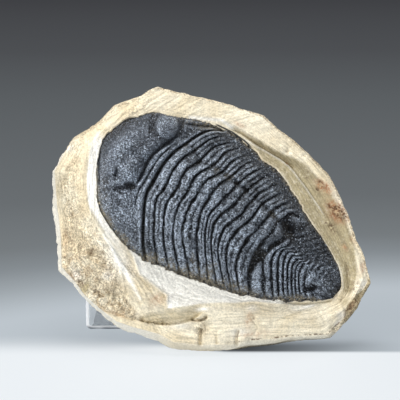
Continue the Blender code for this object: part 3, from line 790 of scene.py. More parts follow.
# Each row is one line across the fossil from its far margin to its near one: the far margin, flank
# and furrow, the crest, the near furrow, the bend, the flank and the near margin, each a picture
# place in pixels with its relief in millimetres. Row -3 is the head's front, 0 the groove behind the
# head, then one for each body segment up to 11, then one for each rib of the tail up to 22
GUIDE_COLUMNS = (0, 0.17, 0.31, 0.44, 0.57, 0.66, 0.75, 1)
FAR_FURROW, CREST, NEAR_FURROW, _, FLANK = GUIDE_COLUMNS[2:7]
GUIDE_ROWS = {
    -3: ((138, 118, 4), (129.6, 118.6, 4), (121, 122.8, 4), (111.2, 131.2, 4), (104, 138, 4),
         (100.8, 146, 4), (98.8, 155, 3.7), (96.6, 165, 3.5)),
    -2.5: ((152, 112.5, 6), (143, 122, 12), (134, 131, 16), (122, 140, 18), (112, 151, 16.5),
           (107, 163, 13), (101.5, 174, 8), (96.6, 182, 3.5)),
    -2: ((172, 116, 8), (164, 128, 16), (152, 138, 19), (138, 149, 20.5), (127, 163, 19),
         (119, 178, 16), (108.6, 190, 11), (97.2, 202.5, 3.5)),
    -1: ((202, 121, 7), (185, 130, 13), (170, 141, 16.5), (156, 150.5, 18.5), (145, 167, 17.5),
         (137.5, 184, 16), (131, 213, 12.5), (120.2, 240, 3.5)),
    0: ((226, 131, 5), (206, 131.5, 11.5), (186, 143, 16), (168, 157.5, 19), (154, 179, 17),
        (145.5, 196, 15.5), (142.8, 225, 12), (145.8, 261.3, 3)),
    1: ((234, 135, 5), (211, 139, 11.7), (194, 151, 16.4), (177, 163.5, 19.8), (164.5, 187, 17.6),
        (156, 200, 16.3), (153.6, 224, 13), (157, 264.5, 3)),
    2: ((242, 141, 5), (215, 147, 11.9), (199, 161, 16.8), (185, 171, 20.5), (174, 192, 18.2),
        (166, 204, 17.1), (163, 224, 13.9), (168.5, 270, 3)),
    3: ((249, 146, 5), (227, 152, 12), (212, 166, 17), (196, 175, 21), (184.5, 195, 18.5),
        (177, 207.5, 17.5), (173, 225, 14.5), (179.5, 275.2, 3)),
    4: ((256, 152, 5), (234, 160, 12), (221, 172.5, 17), (206, 180, 21), (194, 198, 18.6),
        (187, 210, 17.6), (182.6, 227, 14.6), (190, 278.3, 3)),
    5: ((260.8, 159, 5), (243, 166, 12), (229, 177.5, 17), (216, 187, 21), (206, 202, 18.6),
        (200, 214, 17.6), (197, 228, 14.6), (200, 281.6, 3)),
    6: ((268.8, 164.4, 5), (252, 173, 12), (238, 184, 17), (226, 196, 21), (213, 209, 18.5),
        (208, 217, 17.5), (205, 232, 14.5), (208.5, 284.3, 3)),
    7: ((277.5, 171, 5), (258, 181, 11.9), (246, 191, 16.8), (233, 204.5, 20.8), (221, 214.5, 18.2),
        (214, 222, 17.2), (211, 237, 14), (216.5, 287.2, 3)),
    8: ((285.5, 180.2, 5), (266, 189, 11.7), (254, 198, 16.5), (241, 213, 20.5), (229, 223, 17.7),
        (223, 229, 16.7), (218.5, 243, 13.3), (224.5, 290, 3)),
    9: ((291.5, 190.4, 5), (273, 197, 11.5), (262, 204, 16), (249, 220, 20), (237, 230, 17),
        (230, 238, 16), (226, 250, 12.5), (231.5, 292, 3)),
    10: ((298.5, 200.5, 5), (282, 205, 11), (270, 213, 15.2), (257, 228.5, 19), (247.5, 238, 15.9),
         (241, 248, 14.6), (236.5, 260, 11.6), (240, 294.2, 3)),
    11: ((305, 213.4, 5), (290, 214, 10.5), (278, 222, 14), (268, 235, 17.5), (261, 243, 14.5),
         (254, 254, 13), (250, 268, 10.5), (249, 295.5, 3)),
    12: ((311.8, 223.4, 4.5), (300, 228, 9.5), (290, 233, 12), (281, 241, 14.5), (269, 250, 13.5),
         (263, 260, 12.5), (263, 276, 9.5), (264, 299, 3)),
    14: ((321, 236, 4), (310, 240, 8.5), (299, 243, 11), (291, 248.5, 13), (282, 250, 12.5),
         (278, 260, 11), (277.5, 277, 8.5), (279, 300.5, 3)),
    17: ((330, 250, 4), (320, 254, 7), (309, 256, 9.5), (302.5, 259, 11), (296, 260, 10.5),
         (292, 267, 9.5), (291.5, 279, 7.5), (293, 301, 3)),
    20: ((335, 260.5, 3.5), (328, 264, 6), (319, 266.5, 8), (313, 269, 9.3), (308.5, 271, 8.8),
         (305, 277, 7.8), (304.5, 285, 6), (307, 300.5, 3)),
    21: ((337.5, 266, 3.5), (332, 271, 5), (326, 275, 6.2), (321, 279, 7), (317, 282, 6.8),
         (314, 286, 6), (313.5, 291, 5), (315, 300, 3)),
    22: ((340, 272, 3.2), (341, 281, 3.2), (340.7, 286, 3), (339, 291, 3), (336, 294.5, 3),
         (332, 298, 3), (326, 299.3, 3), (321, 299.5, 3)),
}
HEAD_START, TAIL_START, LAST_TAIL_RIB, TAIL_END = -3, 11, 20.5, 22
FIRST_STRONG_RIBS = 4

# The far eye stands up from the head like a boss with a steep rim
FAR_EYE = Lump(167, 125.5, 11.5, 13, 0, 4)
FOSSIL_LUMPS = lumps(
    (127, 168, 17, 13, -8, 2.4), (115.8, 172, 6, 1.7, 80, -2.4), (129, 185, 7, 4.6, 14, -4.4),
    (119.5, 187.5, 8, 3.2, 0, -1.6), (116, 181.5, 4.5, 1.8, 8, 1.2), (174.5, 124, 5, 2.2, 70, 0.8),
    (141.5, 173, 4, 2.4, 60, -1.6), (152, 128, 4, 3, 60, -2.4), (181, 127, 9, 3, 65, -3),
    (120, 150, 16, 9, 55, 0.7), (146, 148, 14, 8, 50, 0.6), (259, 256, 14, 6, 58, -5.4),
    (287, 229.5, 12, 6, -62, -5.4), (276, 243, 8, 3.2, 32, -3.4), (310, 289, 9, 3.2, 12, -1.6),
    (216.5, 220, 6, 2, 55, -1.1), (221.5, 233, 9, 2, 62, -1.2), (234, 235, 7, 2, 58, -1.2),
    (247, 241.5, 5, 2, 55, -1.4), (164.5, 186, 4, 1.6, 60, -1.3), (173.5, 193.5, 4, 1.6, 58, -1.3),
    (199, 163, 4, 2.4, 30, -1.2), (235, 183, 3.5, 2.4, 45, -1.4), (245, 188.5, 3.5, 2.4, 45, -1.5),
    (256, 196, 4, 2.6, 45, -1.7), (272, 213, 4.5, 3, 45, -1.9),
)
FOSSIL_CUTS = cuts(
    (((182, 137), (166, 147), (153.5, 158), (149, 165), (146.5, 172), (142, 180), (138, 187)), 1, 2.6),
    (((192, 138), (172, 148.5), (164, 155), (158, 161), (154.5, 167), (151, 175), (147.5, 182), (141.5, 191),
     (139.5, 200), (138.5, 215), (139.5, 232), (144, 254)), 1.1, 3),
    (((172, 145), (160, 155.7), (153.5, 165.5), (148.3, 174), (143.3, 182), (139, 188.5), (136, 197),
     (134.5, 210)), -0.8, 1),
    (((174, 138), (162, 146), (151, 155), (145.5, 164), (142, 173), (138.5, 179),
     (135.5, 184)), -1.6, 2.4),
    (((102.6, 142), (100.6, 150), (98.9, 160), (98.9, 172), (99.4, 186)), -1.8, 1),
    (((182, 119.5), (196, 122), (210, 123.6), (224, 128)), 1, 1.4),
    (((184, 123.5), (198, 125.8), (212, 127), (226, 132)), -1.4, 1.2),
    (((186, 127), (198, 128.4), (212, 129.6), (226, 134)), 0.7, 1.2),
    (((287, 213), (293, 214.5), (300, 217.5)), -1, 1.2),
    (((111.5, 186), (116, 190.5), (121, 192.5), (127, 191.5), (132, 188.5), (136, 185.5)), -0.9, 1.1),
    (((309.5, 259), (305.5, 264), (303, 271)), 0.75, 1.3),
    (((314, 262), (309.5, 267), (307, 274)), 0.75, 1.3),
    (((319, 264), (314, 269), (311, 277)), 0.75, 1.3),
    (((323.5, 267), (318.5, 272), (316, 279)), 0.75, 1.3),
    (((327.5, 271), (323, 276), (320.5, 282)), 0.6, 1.3),
)
FOSSIL_CHIPS = lumps(
    (169, 115.8, 6.5, 2.4, -12, 1.7), (175, 124, 4.6, 2.2, -75, 1.6), (116.3, 181.5, 4.8, 2, 6, 1.5),
    (200, 186, 3.5, 8, -35, 0.55), (181, 236, 2, 4.5, -8, 0.7), (237.5, 155.5, 4, 1.8, 25, 0.9),
    (270.5, 192, 4, 2.2, 25, 1), (266, 188, 3.5, 1.8, 25, 0.8), (227, 187.5, 3, 2, 25, 0.7),
    (261.5, 233.8, 3, 2, 55, 0.8), (317.4, 283.2, 2.2, 1.8, 0, 1.3), (332.2, 287.7, 1.4, 1.8, 0, 1.1),
    (310, 272, 9, 3, -62, 0.7),
)

# Painted shade and painted light on the fossil: spots made darker and paler than its relief makes them
PAINTED_FOSSIL_SHADE = lumps(
    (259, 255.5, 15, 6.5, 58, 1.5), (287, 229.5, 13, 8, -62, 1.7), (294, 230, 18, 12, -50, 0.85),
    (273, 240, 11, 6, 32, 1.2), (243, 217, 24, 9, -45, 0.7), (242, 196, 12, 10, -45, 0.35),
    (257, 191, 12, 7, -45, 0.85), (266, 230, 9, 5, 45, 0.6), (246, 244, 7, 9, 0, 0.7),
    (191, 241, 5, 10, -10, 1), (291, 218, 6, 5, 0, 0.6), (252, 181, 6, 5, 0, 0.4), (324, 276, 8, 6, 0, 0.5),
    (232, 207, 17, 5, -45, 0.45), (244, 258, 7, 12, 0, 0.45), (253, 251, 5, 8, 0, 0.4),
    (225, 192, 7, 8, 0, 0.5), (276, 204, 6, 6, 0, 0.4), (275, 236, 6, 5, 0, 0.4), (221, 228, 6, 8, 0, 0.55),
    (205, 213, 4, 6, 0, 0.5), (172, 126, 8, 5, 0, 0.35), (212, 228, 10, 3, 75, 0.9),
    (128, 184.5, 6, 4, 14, 1.3), (153.3, 130, 3.6, 2.8, 60, 1.5), (180.5, 128.6, 2.8, 6, 10, 1.5),
    (172, 132, 9, 8, 25, 0.8), (177, 156, 9, 6, 45, 0.6), (206, 250, 6, 7, 0, 0.4), (148, 192, 4, 9, -15, 0.4),
    (309, 287, 9, 5, 14, 1.2), (153, 182, 2.4, 8, -24, 1), (148, 245, 14, 5, -78, 1.2),
    (124, 140, 6, 6, 0, 0.4), (124, 176, 6, 9, 0, 0.4), (326, 250, 22, 9, -62, 0.45),
)
PAINTED_FOSSIL_LIGHT = lumps(
    (172, 221, 18, 9, 82, 1.8), (181, 235, 10, 7, 80, 1), (133, 196, 22, 11, -75, 1),
    (128, 212, 14, 12, 0, 0.9), (132, 156, 7, 7, 0, 0.4), (156, 221, 8, 10, 0, 0.35), (252, 236, 6, 6, 0, 0.9),
    (236, 140, 6, 5, 0, 0.6), (148, 172, 6, 6, 0, 0.4), (162, 262, 14, 5, -32, 0.8), (172, 174, 12, 8, 60, 0.8),
    (156, 158, 12, 9, 60, 0.7), (101, 172, 14, 4, -85, 0.8), (107, 201, 14, 7, -75, 0.6),
    (180, 140, 6, 5, 0, 0.6), (116, 131, 6, 6, 0, 0.4), (148, 116, 7, 4, 0, 0.4), (174, 182, 14, 8, 70, 0.7),
    (208, 203, 13, 9, 60, 1.1),
)

# Stone left on the fossil: along its front rim, at its far cheek and at its front
FRONT_RIM = ((102, 138), (98.6, 148), (96.6, 158), (96, 168), (96.4, 180), (97.4, 192))
FAR_CRUST = Lump(208, 125, 28, 6.5, -12, 1)
FRONT_CRUST = Lump(102, 192, 30, 7, -82, 0.45)


class GridSpot(NamedTuple):
    """The fossil's grid: every vertex's row and column number, picture place and bare relief."""

    row: Grid
    column: Grid
    x: Grid
    y: Grid
    base: Grid


@dataclass
class Fossil:
    """The trilobite: a loft through guide rows with rings, ribs, eyes and grain on it.

    Heights and depths are in millimetres.

    Attributes:
        picture: How the face is laid out.
        segment_rows: Rows of vertices for each body segment.
        rib_rows: Rows for each tail rib.
        head_rows: Rows over the head.
        columns: Vertices across.
        ring_height: Height of the rings on the axis.
        ring_top: Share of a segment at which its ring is highest.
        pleura_height: Height of the ribs beside the axis.
        rib_split: Share of a segment at which its second rib begins.
        tail_rib_height: Height of the tail's first rib.
        segment_groove: Extra depth between two segments.
        head_groove: Depth of the groove behind the head.
        eye_rim: How soft the eye's rim is, as a share of its size.
        flank_bulge: How far the near flank bulges.
        granulation: Height of the fine granulation.
        raggedness: How uneven the outline is, in pixels.
        seat: Where the underside lies above the carved face, in metres.
    """

    picture: FacePicture
    segment_rows: int = 18
    rib_rows: int = 12
    head_rows: int = 104
    columns: int = 224
    ring_height: float = 1.7
    ring_top: float = 0.56
    pleura_height: float = 1.2
    rib_split: float = 0.52
    tail_rib_height: float = 1.7
    segment_groove: float = 1.1
    head_groove: float = 2.8
    eye_rim: float = 0.21
    flank_bulge: float = 1.3
    granulation: float = 0.46
    raggedness: float = 2.2
    seat: float = -0.0015

    def rows(self) -> Grid:
        """Row numbers of the grid, from the head's front to the tail's end."""
        head = np.linspace(HEAD_START, 0, self.head_rows, endpoint=False)
        thorax = np.arange(0, TAIL_START, 1 / self.segment_rows)
        tail = np.linspace(TAIL_START, TAIL_END, int((TAIL_END - TAIL_START) * self.rib_rows) + 1)
        return np.concatenate([head, thorax, tail])

    @staticmethod
    def margin_fade(column: Grid) -> Grid:
        """Lets relief run out at both margins."""
        return window(column, 0, 0.06, 0.95, 1)

    @staticmethod
    def rib_fade(column: Grid) -> Grid:
        """Lets ribs run out before the margins, further in on the far side."""
        return window(column, 0.04, 0.19, 0.945, 1)

    @staticmethod
    def axis_share(column: Grid) -> Grid:
        """How far a column belongs to the raised axis."""
        return window(column, FAR_FURROW - 0.02, FAR_FURROW + 0.03, NEAR_FURROW - 0.03, NEAR_FURROW + 0.03)

    def ring(self, part: Grid) -> Grid:
        """A ring's section: a long rise from the groove before it and a steep fall behind."""
        front = np.sin(0.5 * math.pi * np.clip(part / self.ring_top, 0, 1) ** 0.8)
        back = np.cos(0.5 * math.pi * np.clip((part - self.ring_top) / (1 - self.ring_top), 0, 1) ** 1.5)
        return np.minimum(front, back)

    def thorax_relief(self, row: Grid, column: Grid) -> Grid:
        """Rings on the axis and two ribs for each segment beside it, in millimetres."""
        part = row - np.floor(row)
        groove = bell(np.minimum(part, 1 - part) / 0.11)
        first = np.sin(math.pi * np.clip(part / self.rib_split, 0, 1) ** 0.85)
        second = np.sin(math.pi * np.clip((part - self.rib_split) / (1 - self.rib_split), 0, 1) ** 0.9)
        pair = np.maximum(first, 0.88 * second) ** 0.6
        broad = np.sin(math.pi * part) ** 0.4
        strong = rise(FIRST_STRONG_RIBS - 0.5, FIRST_STRONG_RIBS + 1, row)
        near = rise(CREST, NEAR_FURROW, column)
        joined = near * (0.34 - 0.16 * strong + (0.5 + 0.25 * strong) * rise(0.74, 0.88, column))
        joined += (1 - near) * 0.25
        beside = self.pleura_height * broad * (joined + (1 - joined) * pair) - self.segment_groove * groove
        axis = self.axis_share(column)
        ring = self.ring_height * self.ring(part) - 0.8 * groove
        furrow = bell((column - FAR_FURROW) / 0.028) * (0.7 + 0.7 * groove)
        notch = bell(np.minimum(part, 1 - part) / 0.2) * rise(0.4, 0.9, row)
        furrow += 1.3 * notch * bell((column - NEAR_FURROW - 0.012) / 0.022)
        return (axis * ring + (1 - axis) * beside) * self.rib_fade(column) - furrow

    def tail_relief(self, row: Grid, column: Grid) -> Grid:
        """Single ribs that shrink towards the tail's end, in millimetres."""
        part = row - np.floor(row)
        shrink = 1 - 0.55 * rise(12, LAST_TAIL_RIB, row)
        ribs = np.sin(math.pi * part) ** 0.9
        front = rise(13.2, 12, row)
        near = 0.12 + 0.88 * rise(CREST - 0.03 - 0.14 * front, CREST + 0.05 - 0.14 * front, column)
        low = rise(0.965, 0.9, column)
        return self.tail_rib_height * shrink * ribs * near * low * self.margin_fade(column)

    def head_relief(self, x: Grid, y: Grid) -> Grid:
        """The far eye, the ridges behind it and the head's furrows, in millimetres."""
        share = FAR_EYE.share(x, y)
        dome = 0.4 + 0.6 * np.sqrt(np.clip(1 - share ** 2, 0, 1))
        eye = FAR_EYE.height * dome * rise(1 + self.eye_rim, 1 - self.eye_rim, share)
        return sum(cut.relief(x, y) for cut in FOSSIL_CUTS) + eye

    @staticmethod
    def zones(row: Grid) -> tuple[Grid, Grid, Grid]:
        """How far each row belongs to the head, to the thorax and to the tail."""
        head = rise(0.02, -0.08, row)
        thorax = window(row, -0.03, 0.03, TAIL_START - 0.03, TAIL_START + 0.03)
        tail = window(row, TAIL_START, TAIL_START + 0.3, LAST_TAIL_RIB, LAST_TAIL_RIB + 0.3)
        return head, thorax, tail

    def formed(self, spot: GridSpot) -> Grid:
        """Works out the large and middling forms.

        Args:
            spot: The grid's places.

        Returns:
            The relief in millimetres: the loft with its rings, ribs, grooves and lumps.
        """
        row, column, x, y, base = spot
        place = stacked(x, y)
        head, thorax, tail = self.zones(row)
        inside = self.margin_fade(column) * window(row, HEAD_START, -2.85, 21.7, TAIL_END)
        wander = 0.075 * unevenness(place, 12, 3) + 0.05 * unevenness(place, 3.2, 37, 2)
        wander *= rise(0, 0.5, row)
        strength = 1 + 0.65 * unevenness(place, 9, 31)
        thorax_row = np.clip(row + wander, 0, TAIL_START - 0.001)
        relief = base + thorax * self.thorax_relief(thorax_row, column) * strength
        relief += tail * self.tail_relief(row + 0.5 * wander, column) * strength
        near_edge = np.minimum(self.margin_fade(column) + rise(0, 0.03, column) * head, 1)
        relief += self.head_relief(x, y) * near_edge * window(row, HEAD_START, -2.9, 21.7, TAIL_END)
        flank = np.clip((column - FLANK) / (1 - FLANK), 0, 1)
        relief += self.flank_bulge * np.sin(math.pi * flank) * inside
        relief -= self.head_groove * bell(row / 0.17) * inside
        return relief + spots(FOSSIL_LUMPS, x, y) * inside

    def surface(self) -> dict[str, Grid]:
        """Works out the upper surface and its masks over the grid.

        Returns:
            The face places, and a grid of values from 0 to 1 for each mask.
        """
        spot = self.grid()
        row, column, x, y = spot[:4]
        place = stacked(x, y)
        head, thorax, tail = self.zones(row)
        relief = self.formed(spot)
        stands = relief - blurred(relief, 7)
        broad_stands = relief - blurred(relief, 18)
        patchy = unevenness(place, 9, 33)
        crust_edge = rise(0.9, 0.965, column + 0.05 * patchy) + rise(0.04, 0, column)
        grain = unevenness(place, 1.7, 1, 2)
        coarse = unevenness(place, 2.8, 5, 2)
        knobs = head * rise(0.94, 0.8, column) * rise(-0.7, -0.95, row)
        relief += self.granulation * grain + (0.12 + 0.26 * knobs) * coarse
        relief += 1.5 * bell(FAR_EYE.share(x, y)) * unevenness(place, 5, 61, 3)
        relief -= 0.5 * rise(0.3, 0.48, unevenness(place, 2.3, 41, 2))
        relief += 0.75 * unevenness(place, 2.6, 2) * crust_edge
        furrow = column - FAR_FURROW
        crust = crust_edge * (0.75 + 0.7 * patchy) + 0.15 * rise(0.8, 1.5, -broad_stands)
        crust += spots((FAR_CRUST,), x, y) + 0.9 * stripe(x, y, FRONT_RIM, 2.6)
        crust += spots((FRONT_CRUST,), x, y) * (1 + patchy)
        crust += 0.35 * bell(furrow / 0.05) * rise(0.1, 0.4, patchy) * thorax
        # Painted shade and painted light: spots and the far furrow made darker, other spots made paler
        painted_shade = spots(PAINTED_FOSSIL_SHADE, x, y)
        painted_shade += 0.45 * bell(furrow / 0.04) * thorax * rise(-0.25, 0.15, patchy)
        lights = spots(PAINTED_FOSSIL_LIGHT, x, y)
        tone = 0.42 * grain + 0.5 * coarse * (0.35 + 0.65 * knobs)
        stands *= 1 + 0.9 * tail
        # hollow is painted shade in grooves, hollows and the darkened spots; ridge is paler wear on ridges, partly
        # painted highlight
        hollow = -1.75 * stands - 0.25 * broad_stands - 0.05 - 0.8 * tone + 1.2 * painted_shade - 0.6 * lights
        ridge = 1.6 * stands + 0.2 * broad_stands - 0.01 + 1.2 * lights + 1.3 * tone
        # Painted light: the near half of the fossil, which faces the front, is made paler
        ridge += 0.08 * rise(0.45, 0.75, column)
        return {
            "places": self.picture.relief_place(x, y, relief * MM),
            "hollow": hollow,
            "ridge": np.clip(ridge, 0, 1) * np.clip(1 - 0.9 * painted_shade, 0.05, 1),
            "sparkle": 0.8 + 0.2 * head,
            "granules": knobs,
            "sediment": crust,
            "margin": rise(0.925, 0.975, column) * (0.35 + 0.65 * rise(-0.1, 0.3, patchy)),
            "chip": 1.2 * spots(FOSSIL_CHIPS, x, y) * (0.8 + grain),
        }

    def grid(self) -> GridSpot:
        """The grid's rows and columns, its picture places and the bare loft's relief."""
        rows, columns = self.rows(), np.linspace(0, 1, self.columns)
        guides = smooth_through(list(GUIDE_ROWS), list(GUIDE_ROWS.values()), rows)
        loft = np.swapaxes(smooth_through(GUIDE_COLUMNS, np.swapaxes(guides, 0, 1), columns), 0, 1)
        row, column = np.meshgrid(rows, columns, indexing="ij")
        x, y = self.ragged(loft[..., 0], loft[..., 1], row, column)
        return GridSpot(row, column, x, y, loft[..., 2])

    def ragged(self, x: Grid, y: Grid, row: Grid, column: Grid) -> tuple:
        """Moves the picture places at the outline a little in and out."""
        edge = rise(0.955, 1, column) + rise(0.035, 0, column)
        edge += rise(-2.92, HEAD_START, row) + rise(21.75, TAIL_END, row)
        place = stacked(x, y)
        uneven = unevenness(place, 7, 21, 3) + 0.5 * unevenness(place, 2.6, 22, 2)
        centre = self.picture.centre
        off_x, off_y = x - centre[0], y - centre[1]
        calm = np.minimum(0.42 + 0.58 * rise(0.9, 0.96, column) * rise(-1.5, 0, row), 1)
        push = self.raggedness * calm * uneven * np.minimum(edge, 1) / np.hypot(off_x, off_y)
        return x + push * off_x, y + push * off_y

    @staticmethod
    def boundary(rows: int, columns: int) -> list[tuple[int, int]]:
        """The grid's edge as one loop of grid places."""
        loop = [(row, 0) for row in range(rows - 1)]
        loop += [(rows - 1, column) for column in range(columns - 1)]
        loop += [(row, columns - 1) for row in range(rows - 1, 0, -1)]
        return loop + [(0, column) for column in range(columns - 1, 0, -1)]

    def build(self, surface: dict[str, Grid], finish: Material) -> Object:
        """Makes the closed fossil.

        Args:
            surface: The result of surface.
            finish: The fossil's material.

        Returns:
            The fossil's object.
        """
        places = surface["places"]
        rows, columns = places.shape[:2]
        loop = self.boundary(rows, columns)
        under = np.array([places[spot] for spot in loop])
        under[:, 2] = self.seat - self.picture.turn * under[:, 0]
        vertices = self.picture.world(np.vstack([places.reshape(-1, 3), under]))
        upper = [row * columns + column for row, column in loop]
        lower = list(range(rows * columns, rows * columns + len(loop)))
        faces = grid_faces(rows, columns)
        faces += [[high, next_high, next_low, low] for high, next_high, next_low, low
                  in zip(upper, upper[1:] + upper[:1], lower[1:] + lower[:1], lower)]
        faces.append(lower)
        piece = mesh_piece("trilobite_body", vertices, faces)
        face_outward(piece)
        for name, values in surface.items():
            if name != "places":
                add_mask(piece, name, np.concatenate([values.ravel(), np.zeros(len(loop))]))
        piece.data.materials.append(finish)
        carry(piece, "fossil", "trilobite")
        return piece


# The block


class RimSection(NamedTuple):
    """How the rim runs in one direction from the block's centre; lengths in millimetres.

    The direction is in degrees anticlockwise from the right. The shares say how far along
    the way from the fossil to the front edge the channel's floor and the crest lie.
    """

    direction: float
    near_relief: float
    floor_share: float
    floor_relief: float
    crest_share: float
    crest_relief: float
    edge_relief: float
    edge_inset: float
    outline_w: float
    back_inset: float


BLOCK_OUTLINE = ((158, 88), (186, 94.5), (230, 104.5), (264, 116), (278, 129), (293, 140), (310, 155),
                 (330, 176), (339, 194), (349.5, 217), (357, 240), (366, 258), (371, 283), (357, 309),
                 (347, 321), (331, 337.6), (293, 340.2), (275, 343), (250, 345), (231, 348.8), (200, 349.6),
                 (172, 348), (158, 341), (133, 334.4), (115, 327.4), (98.8, 313.6), (83.2, 299.6), (74, 287),
                 (58.4, 270.6), (56.2, 242), (52.3, 209), (51.4, 173.5), (60, 158), (70, 141.5), (99.5, 124),
                 (115, 107), (140, 98.2), (149, 91.2))
RIM_SECTIONS = tuple(RimSection(*row) for row in (
    (0, 4.4, 0.5, 3.6, 0.86, 6.2, 5.8, 1.2, -4, 3),
    (30, 4.8, 0.42, 4.5, 0.74, 7.6, 7.6, 1.2, -2, 3),
    (60, 5.2, 0.17, 4.9, 0.36, 7.3, 8, 1.2, 2, 3),
    (90, 5.9, 0.14, 6, 0.36, 6.5, 6.8, 1.2, 4, 3.5),
    (120, 6.5, 0.14, 6.5, 0.34, 6.4, 5.8, 1.4, 3, 4),
    (150, 5, 0.18, 5.1, 0.36, 5.2, 1.5, 1.6, 0, 3),
    (180, 4.4, 0.16, 4.6, 0.3, 5, -8.5, 2.4, -4, 2),
    (210, 3.6, 0.18, 4, 0.34, 4.8, -7.5, 1.3, -4, 2.5),
    (240, 2.6, 0.3, 3.2, 0.46, 4.4, -1.5, 1.7, -7, 1.5),
    (270, 2.4, 0.25, 3, 0.42, 4.3, 2.6, 1.5, -0.6, 0),
    (300, 2.6, 0.2, 3, 0.5, 3.8, 2.5, 1.5, -5, 1),
    (330, 3, 0.36, 2.8, 0.8, 5.2, 4.4, 1.5, -7, 3),
))
SCOOP_TOP = ((137, 318), (143, 314.8), (150, 311.8), (157, 310.2), (166, 308.7), (176, 307.8), (187, 306.6),
             (197, 304.5), (208, 303.2))
SCOOP_WIDTH, SCOOP_DEPTH = 14.6, 2.1
BRIGHT_START = ((240, 136), (252.7, 144.5), (266.5, 152.4), (280.3, 160.3), (288.2, 166.3), (294.2, 173.2),
                (300.1, 181.1), (307, 190), (314, 200.8), (319.9, 208.8), (325.8, 218.6))
BRIGHT_LINE = BRIGHT_START + ((332, 232), (338, 248), (341, 262), (343, 275), (341, 290))
STONE_CUTS = cuts(
    (((229, 127.5), (235, 129.8), (242, 133), (254.6, 141.6), (267.5, 149.5), (280.3, 156.4), (288.2, 162.3),
     (296, 170)), -1.5, 2.2, 1.5),
    (BRIGHT_START, 0.8, 1.5, 1.1),
    (((284, 168), (292, 180), (300, 192), (309, 206)), -0.35, 1.1),
    (((296, 182), (304, 194), (312, 207)), 0.3, 1),
    (((190.5, 318.5), (194, 319.4), (200.5, 319.4), (204.5, 317.6), (207.5, 315.2)), -3.4, 1, 1.6),
    (((201.5, 327), (200.8, 334), (200.4, 345)), -2.2, 1.4, 2.6),
    (((239, 329), (237.5, 335), (236.5, 345)), -1.7, 1.4, 2.4),
    (((216.5, 334), (216.5, 339), (217, 344)), -1.1, 1.4),
    (((216, 336), (220, 331.5), (228, 329), (238, 328.5)), 0.5, 1.2, 2.4),
    (((88, 205), (91, 214), (100, 229), (108, 241), (119.5, 262.4), (130, 280.3),
     (139.5, 298)), 0.75, 2.2, 1.4),
    (((141, 318.6), (160, 314), (184, 311.6), (203, 310.5)), -0.45, 0.8),
    (((142, 320.6), (160, 317), (184, 314.3), (200, 313)), 0.4, 0.8),
    (((145, 322.4), (162, 320.6), (184, 317.6)), -0.5, 0.8),
    (((61, 218), (76, 228), (92, 236), (106, 246), (117, 258)), 0.4, 1.6),
    (((104, 236), (118, 254), (132, 274), (146, 303)), -0.7, 1),
    (((119, 262), (123.5, 282), (126, 306)), 0.8, 0.9, 1),
    (((122, 266), (132, 284), (141, 306)), -0.8, 1),
    (((121, 262), (139, 284), (152, 306)), 0.7, 0.9),
    (((124, 262), (146, 284), (160, 304)), -0.7, 0.9),
    (((117, 264), (114, 282), (112, 300)), 0.6, 0.9),
    (((63, 222), (82, 231), (104, 246)), 0.6, 1),
    (((66, 231), (86, 240), (107, 254)), -0.6, 1),
    (((86, 258), (104, 268), (124, 274)), 0.6, 1),
    (((133, 255), (139.5, 274), (153, 284), (167, 295), (167.5, 307)), 0.55, 1.4, 1),
    (((90, 300.3), (100.5, 309.7), (109, 311.8), (123.7, 316), (138.4, 320.3)), -1.3, 1.5, 1.1),
    (((158, 309.6), (175, 307), (199, 303.7), (219.6, 302.2), (234.5, 302.7), (254, 301.2),
     (275, 303.2)), 0.4, 1.3, 1.2),
    (((206, 320), (222, 316.5), (240, 318.5)), 0.35, 0.9),
    (((208, 324), (222, 320.5), (238, 322.5)), -0.3, 0.9),
    (((274, 321.5), (288.8, 316.6), (303.6, 310.6), (323.4, 302.7), (333.3, 300.8)), -0.55, 1.1, 1.3),
    (((300.7, 328.4), (309, 331), (317.5, 334.3)), 0.55, 1.2),
    (((318.5, 311), (322.5, 317), (326.4, 323.5)), -0.55, 1.2),
    (((339.5, 303), (343, 311), (345.5, 322)), 0.6, 1.4),
    (((241.5, 316), (250, 317), (258, 327), (252, 338)), -0.3, 1.2),
    (((279, 301.6), (294, 303), (310, 303.2), (331, 300.2), (341, 292)), -0.8, 1.1, 1.3),
    (((347, 262), (348, 276), (350, 290)), -0.6, 2.2),
    (((60, 205), (62.5, 225), (64.5, 250), (68, 268), (78, 286), (90, 299)), -0.6, 1.2, 1.4),
)
CHIP_FACETS = lumps(
    (224, 337, 11, 6, 10, 0.7), (206, 326, 7, 9, -20, -0.9), (245, 338, 4, 5, 0, 0.7),
    (288, 149, 4.5, 4.5, 0, -0.5), (267, 323, 4.5, 2.8, 0, 0.8), (336, 329, 4.5, 4, 40, -1.6),
    (80.5, 282.4, 4, 4, 0, -1.3), (91, 250.8, 5, 4, 0, -0.9), (130, 266, 7, 5, -50, -0.5),
    (288, 151, 3, 2.6, 0, -0.8), (305, 156, 2, 1.6, 0, -0.6), (330, 227, 2, 3, 30, -0.6),
    (343, 244, 2.5, 2.5, 0, -0.6), (300, 318, 26, 5, 20, 0.5), (336, 312, 9, 12, 0, 0.7),
    (66, 236, 5, 9, 20, -0.9), (84, 285, 7, 9, -30, -1.1), (92, 253, 6, 4, 0, -0.7),
    (116, 292, 10, 12, 20, -0.8), (132, 307, 7, 4, 10, -0.6), (254, 317, 2.4, 4, 0, -0.5),
    (124, 115, 7, 3, 40, -0.5),
)

